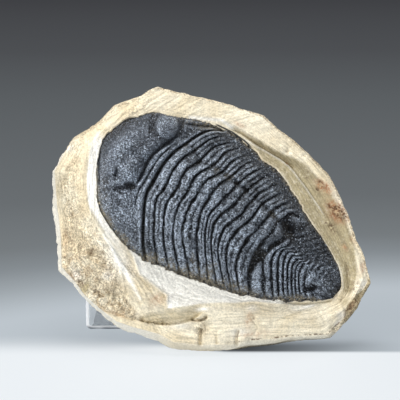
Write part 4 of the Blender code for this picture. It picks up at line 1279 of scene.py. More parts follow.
# Lines on the face that its masks follow
LOWER_CREASE = ((60, 264), (75, 288.5), (89, 300.3), (100.5, 309.7), (109, 311.8), (123.7, 316),
                (138.4, 320.3), (147.9, 324), (160.5, 325), (176.3, 323.5), (190, 320), (200, 322), (215, 326))
LEFT_RIDGE = ((84, 150), (86, 186), (90, 210), (104, 234), (119, 262), (124, 284), (140, 312), (150, 316))
RIM_INSIDE = ((243, 131), (262, 142), (275, 151), (288.5, 156.8), (303, 163), (312.5, 173), (321.6, 182.6),
              (329.4, 192), (338, 206), (346, 222), (351, 236), (354, 250), (356, 262), (356, 275), (353, 288),
              (346, 297))
RIM_GROOVE = ((231, 128.7), (241.8, 132.7), (254.6, 141.6), (267.5, 149.5), (280.3, 156.4), (288.2, 162.3))
BROKEN_EDGE = ((371.5, 280.5), (362.8, 289.6), (357, 294.5), (352.2, 299), (347.5, 304), (345.2, 311),
               (344.3, 321))
FLOOR_LEFT = ((128, 246), (133, 256), (139.5, 274), (153, 284), (167, 295), (167.5, 312))
FLOOR_FOOT = ((150, 311), (166, 308.7), (199, 303.7), (219.6, 302.2), (234.5, 302.7), (254, 301.2),
              (275, 303.2))
WHITE_WALL = ((105, 129.5), (99, 138), (94.3, 152), (92.4, 166), (91.8, 182), (92.6, 198), (97, 210),
              (104, 222), (116, 238), (126, 251), (135, 260))
WHITE_STREAK = ((87.5, 168), (88.5, 186), (89.5, 204), (92, 217))
THIN_CHALK = ((338, 264), (342, 276), (343, 288), (335, 297.5), (322, 301))
FAR_STRIP = ((190, 117.5), (222, 120.5), (232, 127.5))
NEAR_RIDGE = ((104.7, 234), (119.5, 262.4), (130, 280.3), (139.5, 298))
FOOT_GUTTER = ((276, 302), (294, 303.4), (312, 303.4), (331, 300.6))
FOOT_LINE = ((225, 342.5), (249.3, 340.3), (275, 338.3), (303.6, 336.1), (333, 333.2))
SLIVER_LINE = ((214, 123.5), (232, 132), (244, 140.5), (254, 150))

# Spots on the face: broken, white, weather-stained, rusty and nearly black; the white ones are partly painted light,
# and the dark one in the notch at the scoop's end is painted shade
ROUGH_SPOTS = lumps(
    (356, 300, 18, 5, 58, 1), (201, 330, 8, 9, -20, 1), (137, 108, 17, 6, 35, 0.6), (130, 266, 6, 9, 35, 0.5),
    (63, 186, 8, 22, 0, 0.65), (71, 214, 9, 13, 0, 0.55), (338, 214, 12, 8, -50, 0.6),
    (321, 188, 8, 5, -40, 0.6), (165, 299, 9, 8, 30, 0.5), (336, 329, 5, 5, 30, 0.8),
    (342, 214, 9, 5, -50, 0.5),
)
# White spots: scraped stone, partly painted light on faces in shade
CHALK_AND_LIGHT_SPOTS = lumps(
    (202, 308.7, 8.5, 2.2, 4, 1), (309.5, 306, 8.5, 2.6, 14, 0.8), (119, 261, 30, 12, -58, 0.75),
    (341, 315, 5, 6, 30, 0.5), (180, 325, 11, 5, 0, 0.5), (240, 332, 12, 5, 0, 0.5), (252, 308, 8, 5, 0, 0.5),
    (297, 308, 11, 5, 0, 0.5), (340, 324, 6, 5, 0, 0.7), (364, 284, 4, 6, 0, 0.6), (68, 148, 6, 6, 0, 0.5),
    (76, 275, 6, 7, 0, 0.5), (107, 276, 7, 6, 0, 0.5),
)
WEATHERED_SPOTS = lumps(
    (84, 288, 7, 10, -35, 1.1), (93, 253, 6, 5, 0, 0.35), (112, 296, 15, 9, -30, 0.4),
    (344, 302, 10, 8, 60, 0.5), (61, 184, 6, 20, 0, 0.42), (68, 196, 7, 15, 0, 0.32),
    (228, 107, 9, 4, -10, 0.3), (333, 229, 10, 7, -50, 0.6), (122, 103, 14, 5, 38, 0.35),
    (66, 238, 4, 12, 0, 0.35),
)
RUST_STAINS = lumps(
    (324, 187, 10, 5.5, -35, 1.6), (337, 212, 13, 8, -50, 2.1), (362, 268, 6, 3.5, 90, 0.8),
    (249, 320, 10, 5, 80, 0.6), (254, 334, 18, 4, 5, 0.5), (157, 299, 9, 7, 40, 0.6),
    (240, 125, 8, 2.5, -30, 0.6), (352, 305, 12, 3, 55, 0.6), (65.5, 240, 3, 14, 0, 0.35),
    (74, 276, 5, 4, 0, 0.3), (116, 313.5, 14, 2.5, -18, 0.35), (287, 163.5, 2, 1.5, 0, 0.9),
    (345, 248, 5, 3, -60, 0.7), (352, 240, 5, 3, -60, 0.5),
)
DARK_SPOTS = lumps(
    (335, 211, 5, 3, -50, 1.7), (343.6, 215, 4, 2.4, -60, 1.6), (317, 189.5, 2.2, 1.7, 0, 2),
    (322, 184, 6, 2.4, -45, 1.4), (329, 206, 4, 2.4, -50, 0.9), (341, 213, 8, 5, -50, 1.3),
    (72, 246, 3, 7, 0, 0.4), (62, 178, 3, 8, 0, 0.35), (69, 205, 4, 5, 0, 0.35), (307, 178, 1.4, 1.1, 0, 1),
    (253.8, 318.2, 1.4, 2.4, 0, 1.2), (254.2, 323.6, 1.2, 1.4, 0, 1), (80.5, 282.4, 4.5, 4.2, 0, 1.3),
    (91, 250.8, 5.5, 4, 0, 0.9), (287.5, 151.5, 3, 2, 0, 0.5), (113, 291, 10, 5, -35, 0.6),
    (96, 288, 7, 5, 0, 0.55), (347.5, 272, 1.6, 6, 0, 0.6), (199, 319.4, 8, 1.4, 6, 1.4),
    (308, 172, 6, 4, -40, 0.35), (340, 300, 7, 5, 0, 0.35), (148, 308, 7, 4, 20, 0.3),
    (190, 107.5, 1.2, 2, 0, 0.7), (355, 286, 5, 7, -35, 0.9), (348, 292, 5, 5, 0, 0.35),
    (332, 227, 10, 5, -62, 0.8), (338, 211.5, 8, 6, -55, 1.2), (352, 306, 8, 3, 56, 0.9),
    (326, 223, 2, 1.4, 0, 0.8),
)

# Fields of straight tool marks: their direction in degrees, the marks' width and length in
# pixels, and where the field fades in and out across the picture and down it
LEFT_OUT, RIGHT_OUT = (-20, -10), (500, 510)
STROKE_FIELDS = (
    (-62, 1.5, 24, (112, 122, 160, 176), (244, 256, *RIGHT_OUT)),
    (88, 1.4, 30, (82, 86, 98, 103), (130, 142, 220, 232)),
    (14, 1.8, 22, (214, 226, *RIGHT_OUT), (*LEFT_OUT, 132, 142)),
    (32, 1.8, 20, (*LEFT_OUT, 200, 214), (*LEFT_OUT, 120, 128)),
    (4, 1.6, 26, (206, 216, 246, 262), (306, 310, *RIGHT_OUT)),
    (6, 1.5, 24, (140, 146, 196, 204), (309, 312, 320, 325)),
)


@dataclass
class Block:
    """The limestone block: rings of vertices from its pocket over the face to its back.

    Attributes:
        picture: How the face is laid out.
        spokes: Vertices round each ring.
        face_rings: Rings over the carved face.
        side_rings: Rings round each half of the edge.
        back_rings: Rings over the back.
        back_depth: How far the flat back lies behind the centre.
        pocket_gap: Room between the fossil's edge and its pocket.
        pocket_room: Room below the fossil.
        dents: Depth of the dents in the back.
        broken: Depth of the dents in the broken edge.
        calmer: How much of that is missing where the edge is smoother.
        margin: Pixels that the front edge keeps inside the picture's outline.
    """

    picture: FacePicture
    spokes: int = 860
    face_rings: int = 74
    side_rings: int = 12
    back_rings: int = 8
    back_depth: float = 0.0155
    pocket_gap: float = 0.00005
    pocket_room: float = 0.0003
    dents: float = 0.0009
    broken: float = 0.0007
    calmer: float = 0.0004
    margin: float = 1.6

    def section(self, degrees: Grid, name: str) -> Grid:
        """Reads one of the rim's values in each direction."""
        directions = np.array([section.direction for section in RIM_SECTIONS])
        values = np.array([getattr(section, name) for section in RIM_SECTIONS])
        turns = np.concatenate([directions - 360, directions, directions + 360])
        return smooth_through(turns, np.tile(values, 3), np.mod(degrees, 360))

    @staticmethod
    def radius_at(outline: Grid, angle: Grid) -> Grid:
        """How far a closed outline lies from the centre in each direction."""
        directions = np.arctan2(outline[:, 1], outline[:, 0])
        order = np.argsort(directions)
        radii = np.hypot(outline[:, 0], outline[:, 1])
        return np.interp(angle, directions[order], radii[order], period=2 * math.pi)

    def outline(self) -> Grid:
        """The block's outline as u and v, at the w that the rim gives it."""
        x, y = self.picture_outline().T
        degrees = np.degrees(self.picture.round_centre(x, y)[0])
        return np.column_stack(self.picture.place(x, y, self.section(degrees, "outline_w") * MM))

    @staticmethod
    def picture_outline() -> Grid:
        """The block's outline in the picture, each of its straight stretches cut in eight."""
        corners = np.array(BLOCK_OUTLINE)
        parts = np.linspace(0, 1, 8, endpoint=False)[:, None]
        following = np.roll(corners, -1, axis=0)
        return np.concatenate([start + (end - start) * parts for start, end in zip(corners, following)])

    def drawn_in(self, front: Grid, angle: Grid) -> Grid:
        """Draws the front edge in where it would stand out past the picture's outline.

        Args:
            front: How far the front edge lies from the centre in each direction.
            angle: The directions.

        Returns:
            The radii, made smaller where that is needed.
        """
        relief = self.section(np.degrees(angle), "edge_relief")
        places = self.on_face(*around(front, angle), relief)
        direction, reached = self.picture.round_centre(*self.picture.picture_of(places))
        outline = (self.picture_outline() - np.array(self.picture.centre)) * (1, -1)
        over = reached - self.radius_at(outline, direction) + self.margin
        return front - np.maximum(over, 0) * self.picture.scale

    def angles(self, outline: Grid) -> Grid:
        """Directions that divide the outline into equal lengths, in order."""
        closed = np.vstack([outline, outline[:1]])
        lengths = np.concatenate([[0], np.cumsum(np.hypot(*np.diff(closed, axis=0).T))])
        targets = np.linspace(0, lengths[-1], self.spokes, endpoint=False)
        u = np.interp(targets, lengths, closed[:, 0])
        v = np.interp(targets, lengths, closed[:, 1])
        return np.sort(np.arctan2(v, u))

    def rest(self, places: Grid) -> Grid:
        """Flattens what would reach below the floor that the block stands on."""
        lean = self.picture.lean
        height = places[..., 1] * math.cos(lean) + places[..., 2] * math.sin(lean)
        lift = np.maximum(-self.picture.foot_drop - height, 0)
        return places + stacked(0, lift * math.cos(lean), lift * math.sin(lean))

    def profile(self, degrees: Grid, share: Grid) -> Grid:
        """The rim's relief without its marks: channel floor, crest and front edge."""
        near, floor_share, floor, crest_share, crest, edge = (self.section(degrees, name) for name in (
            "near_relief", "floor_share", "floor_relief", "crest_share", "crest_relief", "edge_relief"))
        first = near + (floor - near) * rise(0, 1, share / floor_share)
        second = floor + (crest - floor) * rise(0, 1, (share - floor_share) / (crest_share - floor_share))
        third = crest + (edge - crest) * np.clip((share - crest_share) / (1 - crest_share), 0, 1)
        return np.where(share < floor_share, first, np.where(share < crest_share, second, third))

    @staticmethod
    def scoop(x: Grid, y: Grid) -> Grid:
        """The lens-shaped scoop: deeper down to its lower edge, where it ends in a step."""
        away, along = line_distance(x, y, SCOOP_TOP)
        width = 1 + SCOOP_WIDTH * np.sin(math.pi * np.clip(along, 0, 1)) ** 0.6
        share = np.clip(away / width, 0, 1.3)
        ramp = np.minimum(share, 1) ** 0.7 * rise(1.1, 0.97, share)
        return SCOOP_DEPTH * ramp * window(along, 0, 0.06, 0.8, 1)

    def face(self, inner: Grid, front: Grid, angle: Grid) -> tuple[Grid, dict]:
        """Works out the carved face, from the fossil's edge to the front edge.

        Args:
            inner: How far the fossil's edge lies from the centre in each direction.
            front: How far the front edge lies.
            angle: The directions.

        Returns:
            The face's places, ring by ring, and its masks.
        """
        share = np.linspace(0, 1, self.face_rings)[:, None]
        radius = inner + (front - inner) * share
        u, v = around(radius, angle)
        relief = self.profile(np.degrees(angle), share)
        x, y = self.picture.picture_of(self.on_face(u, v, relief))
        relief = relief + sum(cut.relief(x, y) for cut in STONE_CUTS)
        relief += spots(CHIP_FACETS, x, y) - self.scoop(x, y)
        rough = self.rough_share(x, y)
        place = stacked(u, v)
        relief += 1.35 * rough * unevenness(place, 0.0036, 4, 4)
        relief += (0.1 + 0.5 * rough) * unevenness(place, 0.0013, 5, 3)
        bent = share + 0.05 * unevenness(place, 0.02, 12, 2)
        round_marks = unevenness(stacked(angle * 2.2, bent * 26), 1, 6, 3)
        fine_marks = unevenness(stacked(angle * 7, bent * 80), 1, 9, 2)
        strokes = self.strokes(x, y)
        straight = np.clip(sum(np.abs(stroke) > 0 for stroke in strokes), 0, 1)
        scraped = round_marks * (1 - straight) + sum(strokes)
        relief += (0.16 * scraped + 0.09 * fine_marks) * (1 - 0.6 * rough)
        masks = self.face_masks(x, y, rough, share)
        masks["scrape"] = np.clip(0.5 + 0.45 * scraped + 0.45 * fine_marks, 0, 1)
        return self.on_face(u, v, relief), masks

    def on_face(self, u: Grid, v: Grid, relief: Grid) -> Grid:
        """Gives places of the face their w from a relief in millimetres."""
        return stacked(u, v, relief * MM - self.picture.turn * u)

    @staticmethod
    def rough_share(x: Grid, y: Grid) -> Grid:
        """Where the stone is broken rather than carved."""
        ridge, _ = line_distance(x, y, LEFT_RIDGE)
        crease, _ = line_distance(x, y, LOWER_CREASE)
        left = rise(-1, 9, ridge) * rise(60, 66, x + 0.06 * (y - 220))
        rough = left * (0.5 + 0.5 * rise(200, 270, y)) * rise(0.8, -0.8, crease)
        return np.clip(rough + spots(ROUGH_SPOTS, x, y), 0, 1)

    @staticmethod
    def strokes(x: Grid, y: Grid) -> list[Grid]:
        """Straight tool marks, each field in its own direction and part of the face."""
        drawn = []
        for index, (degrees, width, length, x_limits, y_limits) in enumerate(STROKE_FIELDS):
            turn = math.radians(degrees)
            along = x * math.cos(turn) - y * math.sin(turn)
            across = x * math.sin(turn) + y * math.cos(turn)
            marks = unevenness(stacked(along / length, across / width), 1, 40 + index, 3)
            drawn.append(window(x, *x_limits) * window(y, *y_limits) * marks)
        return drawn

    @staticmethod
    def chalk_and_light(x: Grid, y: Grid) -> Grid:
        """Where the stone is scraped white, with painted light where shade would fall: the wall beside the head, the
        far strip, the bright crest line and some spots.
        """
        left_side, _ = line_distance(x, y, FLOOR_LEFT)
        lower_side, _ = line_distance(x, y, FLOOR_FOOT)
        floor = rise(2.4, -2.4, left_side) * rise(1.2, -1.2, lower_side)
        floor *= rise(238, 250, y) * rise(300, 272, x)
        # Painted highlight along the bright crest line
        bright, along = line_distance(x, y, BRIGHT_LINE)
        return (0.92 * floor + 0.95 * band(x, y, WHITE_WALL, (3.2, 6.6), (0.12, 0.62))
                + 0.7 * band(x, y, WHITE_STREAK, (0.6, 1.8), (0.2, 0.8)) + 0.3 * stripe(x, y, THIN_CHALK, 1.2)
                + 0.8 * stripe(x, y, FAR_STRIP, 2.6) + 0.55 * stripe(x, y, NEAR_RIDGE, 2.6)
                + 0.45 * bell(bright) * window(along, 0, 0.06, 0.56, 0.62) + spots(CHALK_AND_LIGHT_SPOTS, x, y))

    @staticmethod
    def weathered_and_shaded(x: Grid, y: Grid, share: Grid, mottle: Grid) -> Grid:
        """Weather-stained colour with painted shade: the channel beside the fossil, darker where shade falls, before
        the broken corner.
        """
        place = stacked(x, y)
        inside, along_rim = line_distance(x, y, RIM_INSIDE)
        bright, _ = line_distance(x, y, BRIGHT_LINE)
        olive_and_shade = rise(-2.5, 2, inside) * window(along_rim, 0.02, 0.14, 0.97, 1)
        strip = 0.92 * rise(0.015, 0.08, share)
        olive_and_shade *= (strip + (0.98 - strip) * rise(0.5, -1, bright)) * (1 + 0.45 * mottle)
        return olive_and_shade * (1.06 + 0.6 * unevenness(place, 1.9, 73, 3)) + (
            spots(WEATHERED_SPOTS, x, y) * (1 + 0.8 * mottle))

    def face_masks(self, x: Grid, y: Grid, rough: Grid, share: Grid) -> dict:
        """Works out where the stone is rough, chalky or stained, and where shade and light are painted on it.

        Args:
            x: Picture x of each place.
            y: Its picture y.
            rough: The result of rough_share.
            share: The way from the fossil to the front edge.

        Returns:
            A grid of values for each mask.
        """
        mottle = unevenness(stacked(x, y), 5, 71, 4)
        scoop_low = self.scoop(x, y) / SCOOP_DEPTH
        olive_and_shade = self.weathered_and_shaded(x, y, share, mottle)
        # Painted shade on the scoop's lower part, which faces down
        olive_and_shade += 0.5 * rise(0.1, 0.5, scoop_low) + 0.5 * rise(0.8, 0.98, scoop_low)
        broken, along = line_distance(x, y, BROKEN_EDGE)
        facet = rise(0.5, -0.7, broken) * window(along, 0, 0.05, 0.95, 1)
        olive_and_shade = np.maximum(olive_and_shade * (1 - facet), facet)
        groove, along = line_distance(x, y, RIM_GROOVE)
        groove_start = rise(0, 0.15, along)
        # Painted shade in the rim groove; greenish colour also along the foot gutter
        olive_and_shade += 0.8 * stripe(x, y, FOOT_GUTTER, 1.1) + 0.9 * bell(groove / 1.6) * groove_start
        turn = np.mod(np.degrees(self.picture.round_centre(x, y)[0]), 360)
        dashes = rise(-0.3, -0.05, unevenness(stacked(x / 4, 0), 1, 50, 2))
        # Dark stains, painted shade in the rim groove and at the scoop's lower edge, and dark dashes along the foot
        dark_stain_and_shade = spots(DARK_SPOTS, x, y) + 0.5 * stripe(x, y, FOOT_LINE, 0.9)
        dark_stain_and_shade += 1.2 * rise(0.955, 0.985, share) * window(turn, 281, 287, 321, 326) * dashes
        dark_stain_and_shade += 0.45 * facet * rise(-0.1, 0.3, mottle) + 0.4 * bell(groove / 1.2) * groove_start
        dark_stain_and_shade += 0.5 * rise(0.88, 0.97, scoop_low) * rise(196, 186, x)
        return {"rough": np.maximum(rough, facet), "chalk_and_light": np.clip(self.chalk_and_light(x, y), 0, 1),
                "olive_and_shade": np.clip(olive_and_shade, 0, 1), "rust": np.clip(spots(RUST_STAINS, x, y), 0, 1.5),
                "dark_stain_and_shade": np.clip(dark_stain_and_shade, 0, 1.5), "sliver": band(x, y, SLIVER_LINE, (0.4, 1.3), (0.1, 0.85))}

    def edge_masks(self, degrees: Grid, rear_rings: int) -> dict:
        """Masks round the edge and over the back: broken, with smooth lips at the left and the foot made paler with
        painted light, and the right foot's underside darker with painted shade.
        """
        way = np.linspace(0, 1, 2 * self.side_rings)[:, None]
        turn = np.mod(degrees, 360)
        front_half = rise(0.6, 0.5, way)
        left = window(turn, 145, 165, 236, 252) * front_half
        foot = window(turn, 236, 246, 312, 322) * front_half
        right_foot = foot * rise(262, 276, turn)
        corner = window(turn, 320, 324, 337, 341) * front_half
        foot *= 1 - corner
        masks = {
            "rough": np.minimum(0.8 - 0.8 * left - 0.75 * foot + 0.4 * corner, 1),
            "dark_stain_and_shade": 0.35 * corner,
            "chalk_and_light": 0.62 * left + 0.22 * foot + 0.05 * right_foot,
            "olive_and_shade": np.clip(0.3 * right_foot * rise(0.34, 0.2, way) + 0.9 * corner, 0, 1),
        }
        return {name: np.concatenate([values, np.full((rear_rings, len(degrees)), 0.8 if name == "rough" else 0)])
                for name, values in masks.items()}

    def side(self, edge: Grid, outer: Grid, back: Grid, angle: Grid) -> Grid:
        """Rings round the block's edge, from the front edge by the outline to the back."""
        turn = np.linspace(0, 0.5 * math.pi, self.side_rings + 1)[1:, None]
        degrees = np.mod(np.degrees(angle), 360)
        chamfer = window(degrees, 140, 165, 235, 255)
        even = turn / (0.5 * math.pi)
        quick = (np.sin(turn) * (1 - chamfer) + even * chamfer)[..., None]
        slow = ((1 - np.cos(turn)) * (1 - chamfer) + even * chamfer)[..., None]
        to_outline = edge + (outer - edge) * np.concatenate([quick, quick, slow], axis=-1)
        to_back = outer + (back - outer) * np.concatenate([slow, slow, quick], axis=-1)
        rings = np.concatenate([to_outline, to_back])
        rough = unevenness(rings, 0.006, 7, 4) + 0.5 * unevenness(rings, 0.002, 8, 3)
        total = len(rings)
        calm = rise(225, 250, degrees) + rise(150, 120, degrees)
        swell = np.sin(math.pi * (np.arange(total) + 1) / total)[:, None] * (self.broken - self.calmer * calm)
        radial = stacked(*around(1, angle), 0)
        inward = np.minimum(rough - 0.35, 0) * swell * 1.6
        return rings + inward[..., None] * radial

    def build(self, fossil_edge: Grid, finish: Material) -> Object:
        """Makes the closed block.

        Args:
            fossil_edge: The fossil's outline as u and v.
            finish: The stone's material.

        Returns:
            The block's object.
        """
        outline = self.outline()
        angle = self.angles(outline)
        degrees = np.degrees(angle)
        outer_radius = self.radius_at(outline, angle)
        inner = self.radius_at(fossil_edge, angle) + self.pocket_gap
        front = self.drawn_in(outer_radius - self.section(degrees, "edge_inset") * MM, angle)
        face, masks = self.face(inner, front, angle)
        outer = stacked(*around(outer_radius, angle), self.section(degrees, "outline_w") * MM)
        back_radius = outer_radius - self.section(degrees, "back_inset") * MM
        back = stacked(*around(back_radius, angle), -self.back_depth)
        side = self.side(face[-1], outer, back, angle)
        shrink = np.linspace(1, 0.04, self.back_rings + 1)[1:, None]
        rear = stacked(*around(back_radius * shrink, angle), -self.back_depth)
        rear[..., 2] += self.dents * np.abs(unevenness(rear[..., :2], 0.012, 9, 4))
        pocket = self.on_face(*around(inner, angle), (Fossil.seat - self.pocket_room) / MM)[None]
        rings = self.rest(np.concatenate([pocket, face, side, rear]))
        count, spokes = rings.shape[:2]
        faces = grid_faces(count, spokes, closed=True)
        faces.append(list(range(spokes)))
        faces.append([(count - 1) * spokes + index for index in range(spokes)])
        piece = mesh_piece("limestone_block", self.picture.world(rings.reshape(-1, 3)), faces)
        face_outward(piece)
        self.add_masks(piece, masks, self.edge_masks(degrees, rear.shape[0]))
        piece.data.materials.append(finish)
        carry(piece, "limestone", "matrix")
        return piece

    def add_masks(self, piece: Object, masks: dict, outer_masks: dict) -> None:
        """Stores the masks of the pocket, the face, and the edge and back in one."""
        outside_rings, spokes = outer_masks["rough"].shape
        fade = np.linspace(1, 0, outside_rings)[:, None] ** 4
        for name, values in masks.items():
            after = outer_masks.get(name, values[-1] * fade)
            if name == "olive_and_shade":
                after = np.maximum(after, values[-1] * fade)
            if name == "scrape":
                after = np.full((outside_rings, spokes), 0.5)
            add_mask(piece, name, np.concatenate([np.zeros((1, spokes)), values, after]).ravel())


# The stand


@dataclass
class Stand:
    """One sheet of clear acrylic, bent up at both ends to a floor and two upright sides.

    The block's back leans on the front corners of the two sides.

    Attributes:
        picture: How the block's face is laid out.
        gap: Room between the block and the stand.
        sheet: The sheet's thickness.
        left: The sheet's left face.
        right: The sheet's right face.
        front: How far behind the block's centre the sheet's front edge lies.
        depth: The sheet's depth from front to back.
        bend: The bends' radius.
        bend_steps: Parts in each bend.
        edge_round: Rounding of the sheet's cut edges.
    """

    picture: FacePicture
    gap: float = 0.0003
    sheet: float = 0.0013
    left: float = -0.0473
    right: float = 0.0335
    front: float = 0.0238
    depth: float = 0.0360
    bend: float = 0.0014
    bend_steps: int = 14
    edge_round: float = 0.00018

    @property
    def height(self) -> float:
        """How high the sides stand: up to where the block's back passes their front."""
        behind = self.front - (Block.back_depth + self.gap) / math.cos(self.picture.lean)
        return self.picture.foot_drop + behind / math.tan(self.picture.lean)

    @classmethod
    def block_place(cls, node: str) -> Pair:
        """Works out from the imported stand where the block's centre lies, as x and y."""
        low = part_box(node)[0]
        return low[0] - cls.left, low[1] - cls.front

    def path(self) -> list[Pair]:
        """The sheet's middle line from the left side's top to the right one's, as x and z."""
        left = self.left + self.sheet / 2
        right = self.right - self.sheet / 2
        low = self.sheet / 2
        turns = [math.pi / 2 * step / self.bend_steps for step in range(self.bend_steps + 1)]
        inner = [(self.bend * (1 - math.cos(turn)), self.bend * (1 - math.sin(turn))) for turn in turns]
        return [(left, self.height), *((left + across, low + up) for across, up in inner),
                *((right - up, low + across) for across, up in inner), (right, self.height)]

    def build(self, finishes: dict[AcrylicSurface, Material]) -> Object:
        """Makes the bent sheet.

        Args:
            finishes: The materials of the sheet's faces and of its cut edges.

        Returns:
            The stand's object.
        """
        across, behind = self.picture.offset
        vertices = []
        for x, z in self.path():
            vertices += [(x + across, self.front + behind, z), (x + across, self.front + self.depth + behind, z)]
        faces = [[2 * index, 2 * index + 1, 2 * index + 3, 2 * index + 2] for index in range(len(vertices) // 2 - 1)]
        rough = mesh_piece("stand_sheet", np.array(vertices), faces)
        for surface in AcrylicSurface:
            rough.data.materials.append(finishes[surface])
        wall = rough.modifiers.new("Sheet", "SOLIDIFY")
        wall.thickness = self.sheet
        wall.offset = 0
        wall.use_even_offset = True
        wall.material_offset_rim = 1
        edges = rough.modifiers.new("Edges", "BEVEL")
        edges.width = self.edge_round
        edges.segments = 2
        edges.limit_method = "ANGLE"
        edges.angle_limit = math.radians(50)
        piece = baked_copy(rough, "acrylic_stand")
        face_outward(piece)
        piece.data.set_sharp_from_angle(angle=math.radians(40))
        carry(piece, "acrylic", "stand")
        return piece


@dataclass
class Grains:
    """Low faceted grains scattered over a piece by Geometry Nodes, made into one mesh.

    Attributes:
        name: The name of the new piece and of its tree.
        slot: Handed on to carry, which does not use it.
        mask: The vertex mask that says how densely they lie.
        spacing: The least distance between two grains.
        density: The most grains in a square metre.
        smallest: The smallest radius.
        largest: The largest radius.
        flatness: How flat a grain may be, 1 for round.
        seed: The random seed.
        smooth: Whether they are shaded smooth.
    """

    name: str
    slot: str
    mask: str
    spacing: float
    density: float
    smallest: float
    largest: float
    flatness: float
    seed: int
    smooth: bool = True

    def tree(self, finish: Material) -> NodeTree:
        """Builds the tree that scatters the grains.

        Args:
            finish: The grains' material.

        Returns:
            The tree, with inputs for spacing, density, sizes, flatness and seed.
        """
        tree = bpy.data.node_groups.new(self.name, "GeometryNodeTree")
        tree.interface.new_socket("Geometry", in_out="INPUT", socket_type="NodeSocketGeometry")
        for label in ("Spacing", "Density", "Smallest", "Largest", "Flatness"):
            tree.interface.new_socket(label, in_out="INPUT", socket_type="NodeSocketFloat")
        tree.interface.new_socket("Seed", in_out="INPUT", socket_type="NodeSocketInt")
        tree.interface.new_socket("Geometry", in_out="OUTPUT", socket_type="NodeSocketGeometry")
        bench = NodeBench(tree)
        given = bench.add("NodeGroupInput").outputs
        share = bench.add("GeometryNodeInputNamedAttribute", {"Name": self.mask}, data_type="FLOAT")
        points = bench.add("GeometryNodeDistributePointsOnFaces", {
            "Mesh": given["Geometry"], "Distance Min": given["Spacing"], "Density Max": given["Density"],
            "Density Factor": share.outputs["Attribute"], "Seed": given["Seed"]}, distribute_method="POISSON")
        ball = bench.add("GeometryNodeMeshIcoSphere", {"Radius": 1, "Subdivisions": 1})
        size = bench.add("FunctionNodeRandomValue", {
            2: given["Smallest"], 3: given["Largest"], "Seed": given["Seed"]}, data_type="FLOAT")
        lowest = bench.add("ShaderNodeCombineXYZ", {axis: given["Flatness"] for axis in "XYZ"})
        form = bench.add("FunctionNodeRandomValue", {0: lowest.outputs["Vector"], 1: (1, 1, 1)},
                         data_type="FLOAT_VECTOR")
        scale = bench.add("ShaderNodeVectorMath", {0: form.outputs[0], "Scale": size.outputs[1]}, operation="SCALE")
        turn = bench.add("FunctionNodeRandomValue", {1: (math.tau, math.tau, math.tau)}, data_type="FLOAT_VECTOR")
        placed = bench.add("GeometryNodeInstanceOnPoints", {
            "Points": points.outputs["Points"], "Instance": ball.outputs["Mesh"], "Rotation": turn.outputs[0],
            "Scale": scale.outputs["Vector"]})
        real = bench.add("GeometryNodeRealizeInstances", {"Geometry": placed.outputs["Instances"]})
        shade = bench.add("GeometryNodeSetShadeSmooth", {
            "Geometry": real.outputs["Geometry"], "Shade Smooth": self.smooth})
        dressed = bench.add("GeometryNodeSetMaterial", {"Geometry": shade.outputs["Geometry"], "Material": finish})
        bench.add("NodeGroupOutput", {"Geometry": dressed.outputs["Geometry"]})
        return tree

    def build(self, ground: Object, finish: Material) -> Object:
        """Scatters the grains over a piece.

        Args:
            ground: The piece that they lie on.
            finish: Their material.

        Returns:
            The grains as one object.
        """
        carrier = placed("grain_carrier", ground.data.copy())
        spread = carrier.modifiers.new("Grains", "NODES")
        spread.node_group = self.tree(finish)
        wanted = {"Spacing": self.spacing, "Density": self.density, "Smallest": self.smallest,
                  "Largest": self.largest, "Flatness": self.flatness, "Seed": self.seed}
        for item in spread.node_group.interface.items_tree:
            if item.in_out == "INPUT" and item.name in wanted:
                spread[item.identifier] = wanted[item.name]
        piece = baked_copy(carrier, self.name)
        carry(piece, self.slot)
        return piece


# The studio


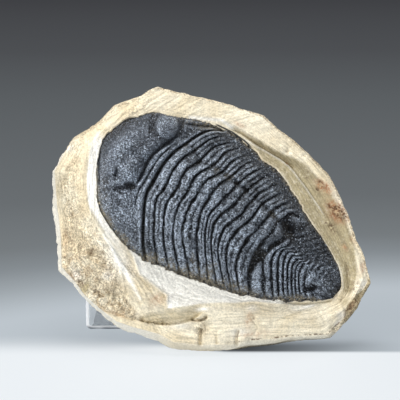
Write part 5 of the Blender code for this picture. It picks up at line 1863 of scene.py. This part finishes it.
@dataclass
class Studio:
    """The pale floor with painted light and shade on it, the soft lights and the camera.

    Attributes:
        picture: How the picture was taken.
        focus: The middle of the object.
        picture_pixels: The picture's width and height in pixels.
        sensor: The camera's sensor width, in its own millimetres.
        pool: The middle of the floor's painted pool of light, as x and y.
        glow: The share of the floor's colour that it gives out as a painted glow rather than reflects.
        floor_reach: The floor's radius.
        floor_tones: Distances from the pool's middle, with the floor's colour there, a painted fall-off of light.
        front_tone: The floor's colour in front of the object, where a brighter zone starts.
        contact_shadow_tone: Colour of the painted contact shadow close to the object.
        front_zone_edge: How far forward that brighter zone starts, at its left and its right.
    """

    picture: FacePicture
    focus: Vector
    picture_pixels: float = 400.0
    sensor: float = 36.0
    pool: Pair = (0.075, -0.16)
    glow: float = 0.85
    floor_reach: float = 6.0
    front_tone: Colour = (0.805, 0.845, 0.88)
    contact_shadow_tone: Colour = (0.02, 0.024, 0.028)
    front_zone_edge: Pair = (-0.0205, -0.0308)
    floor_tones: tuple = (
        (0, (0.47, 0.52, 0.565)),
        (0.19, (0.47, 0.52, 0.565)),
        (0.237, (0.495, 0.545, 0.59)),
        (0.252, (0.453, 0.5, 0.54)),
        (0.284, (0.334, 0.37, 0.398)),
        (0.321, (0.234, 0.26, 0.281)),
        (0.367, (0.18, 0.198, 0.21)),
        (0.5, (0.142, 0.156, 0.166)),
        (1.08, (0.113, 0.124, 0.132)),
        (1.73, (0.081, 0.086, 0.093)),
        (3.2, (0.058, 0.06, 0.066)),
        (4, (0.048, 0.05, 0.055)),
    )

    def floor_colour(self, bench: NodeBench) -> NodeSocket:
        """Works out the floor's colour: a painted pool of light behind, a brighter zone in front and a painted
        contact shadow.
        """
        place = bench.object_place()
        reach = bench.add("ShaderNodeVectorMath", {0: place, 1: (*self.pool, 0)}, operation="DISTANCE")
        last = self.floor_tones[-1][0]
        away = bench.math("POWER", bench.math("DIVIDE", reach.outputs["Value"], last), 0.5)
        ramp = bench.add("ShaderNodeValToRGB", {"Fac": away})
        tones = ramp.color_ramp.elements
        while len(tones) < len(self.floor_tones):
            tones.new(0.5)
        for tone, (distance, colour) in zip(tones, self.floor_tones):
            tone.position = (distance / last) ** 0.5
            tone.color = (*colour, 1)
        axes = bench.parted(place)
        across, behind = axes["X"], axes["Y"]
        softness = bench.spread(across, -0.065, 0.004, 0.034, 0.005)
        edge = bench.spread(across, -0.02, 0.008, *self.front_zone_edge)
        forward = bench.math("DIVIDE", bench.math("SUBTRACT", edge, behind), softness)
        front_zone = bench.spread(bench.plus(forward, 0.5), 0, 1)
        # Painted contact shadow behind the brighter zone's edge, under the block's foot
        dark = bench.spread(behind, self.front_zone_edge[1] + 0.022, self.front_zone_edge[1] + 0.008)
        for faded in (bench.spread(across, 0.08, 0.005, 0, 0.94), bench.spread(across, -0.024, 0.016, 0.12, 1),
                      bench.between(front_zone, 1, 0)):
            dark = bench.times(dark, faded)
        shaded = bench.tint(dark, ramp.outputs["Color"], self.contact_shadow_tone)
        return bench.tint(front_zone, shaded, self.front_tone)

    def floor(self) -> None:
        """Makes the floor."""
        rings, spokes = 40, 96
        reach = self.floor_reach * np.linspace(0, 1, rings + 1)[1:, None] ** 2
        angle = np.linspace(0, math.tau, spokes, endpoint=False)
        vertices = stacked(*around(reach, angle), 0).reshape(-1, 3)
        faces = grid_faces(rings, spokes, closed=True)
        faces.append(list(range(spokes))[::-1])
        floor = mesh_piece("studio_floor", vertices, faces)
        material, bench, shader = start_material("floor_paper")
        colour = self.floor_colour(bench)
        # The floor glows with most of its colour: painted light from a part that is no lamp
        bench.fill(shader, {
            "Base Color": bench.tint(1 - self.glow, (0, 0, 0), colour), "Emission Color": colour,
            "Emission Strength": self.glow, "Roughness": 0.6, "Specular IOR Level": 0.2})
        floor.data.materials.append(material)
        face_outward(floor)

    def light(self, name: str, place: Colour, size: Pair, power: float, colour: Colour) -> None:
        """Adds a soft rectangular light that faces the object.

        Args:
            name: The light's name.
            place: Where it hangs, from the object's middle.
            size: Its width and height.
            power: Its power in watts.
            colour: Its colour.
        """
        lamp = bpy.data.lights.new(name, "AREA")
        lamp.shape = "RECTANGLE"
        lamp.size, lamp.size_y = size
        lamp.energy = power
        lamp.color = colour
        holder = placed(name, lamp)
        holder.location = self.focus + Vector(place)
        holder.rotation_euler = (-Vector(place)).to_track_quat("-Z", "Y").to_euler()

    def air(self, colour: Colour, strength: float) -> None:
        """Sets the weak even light that comes from all round."""
        world = bpy.data.worlds.new("studio_air")
        world.use_nodes = True
        NodeBench(world.node_tree).fill(world.node_tree.nodes["Background"], {"Color": colour, "Strength": strength})
        bpy.context.scene.world = world

    def camera(self) -> None:
        """Places the camera where the picture was taken from."""
        picture = self.picture
        lens = bpy.data.cameras.new("camera")
        lens.sensor_width = self.sensor
        lens.lens = self.sensor * picture.distance / (self.picture_pixels * picture.scale)
        lens.clip_start = 0.01
        lens.dof.use_dof = False
        aside = (picture.middle[0] - picture.centre[0]) * picture.scale
        upward = (picture.centre[1] - picture.middle[1]) * picture.scale
        sine, cosine = math.sin(picture.view_height), math.cos(picture.view_height)
        back, up = Vector((0, -cosine, sine)), Vector((0, sine, cosine))
        camera = placed("camera", lens)
        camera.location = self.focus + back * picture.distance + up * upward + Vector((aside, 0, 0))
        camera.rotation_euler = (math.pi / 2 - picture.view_height, 0, 0)
        bpy.context.scene.camera = camera

    def build(self) -> None:
        """Makes the floor, the lights and the camera."""
        self.floor()
        self.light("top_softbox", (-0.06, -0.07, 0.72), (0.5, 0.44), 5.3, (1, 0.99, 0.97))
        self.light("left_softbox", (-0.62, -0.54, 0.3), (0.42, 0.42), 5.2, (1, 0.99, 0.97))
        self.light("front_fill", (0.1, -0.9, 0.3), (0.8, 0.6), 2.9, (0.98, 0.99, 1))
        self.air((0.8, 0.88, 1), 0.05)
        self.camera()
        bpy.context.scene.view_settings.view_transform = "Standard"


def main() -> None:
    """Builds the fossil, the block, the stand and the studio."""
    logging.basicConfig(level=logging.INFO, format="%(name)s: %(message)s")
    picture = FacePicture(Stand.block_place("stand"))
    log.info("the block's centre stands at %.5f, %.5f", *picture.offset)
    grain_tree = grain_group()
    fossil = Fossil(picture)
    surface = fossil.surface()
    body = fossil.build(surface, FossilFinish().material(grain_tree))
    edge = np.array([surface["places"][spot][:2] for spot in fossil.boundary(*surface["places"].shape[:2])])
    block = Block(picture).build(edge, LimestoneFinish().material(grain_tree))
    acrylic = AcrylicFinish()
    Stand(picture).build({kind: acrylic.material(kind) for kind in AcrylicSurface})
    granule_finish = GritFinish("granule_calcite", (0.022, 0.027, 0.035), (0.13, 0.15, 0.19), 0.36)
    Grains("head_granules", "fossil", "granules", 0.00052, 4.0e6, 0.00018, 0.00034, 0.7, 11).build(
        body, granule_finish.material())
    grit_finish = GritFinish("margin_grit", (0.1, 0.075, 0.05), (0.62, 0.55, 0.4), 0.85)
    Grains("margin_grains", "fossil", "margin", 0.0005, 3.2e6, 0.00012, 0.00034, 0.5, 12, False).build(
        body, grit_finish.material())
    log.info("%s carries the fossil", block.name)
    Studio(picture, Vector((*picture.offset, picture.foot_drop))).build()


if __name__ == "__main__":
    main()
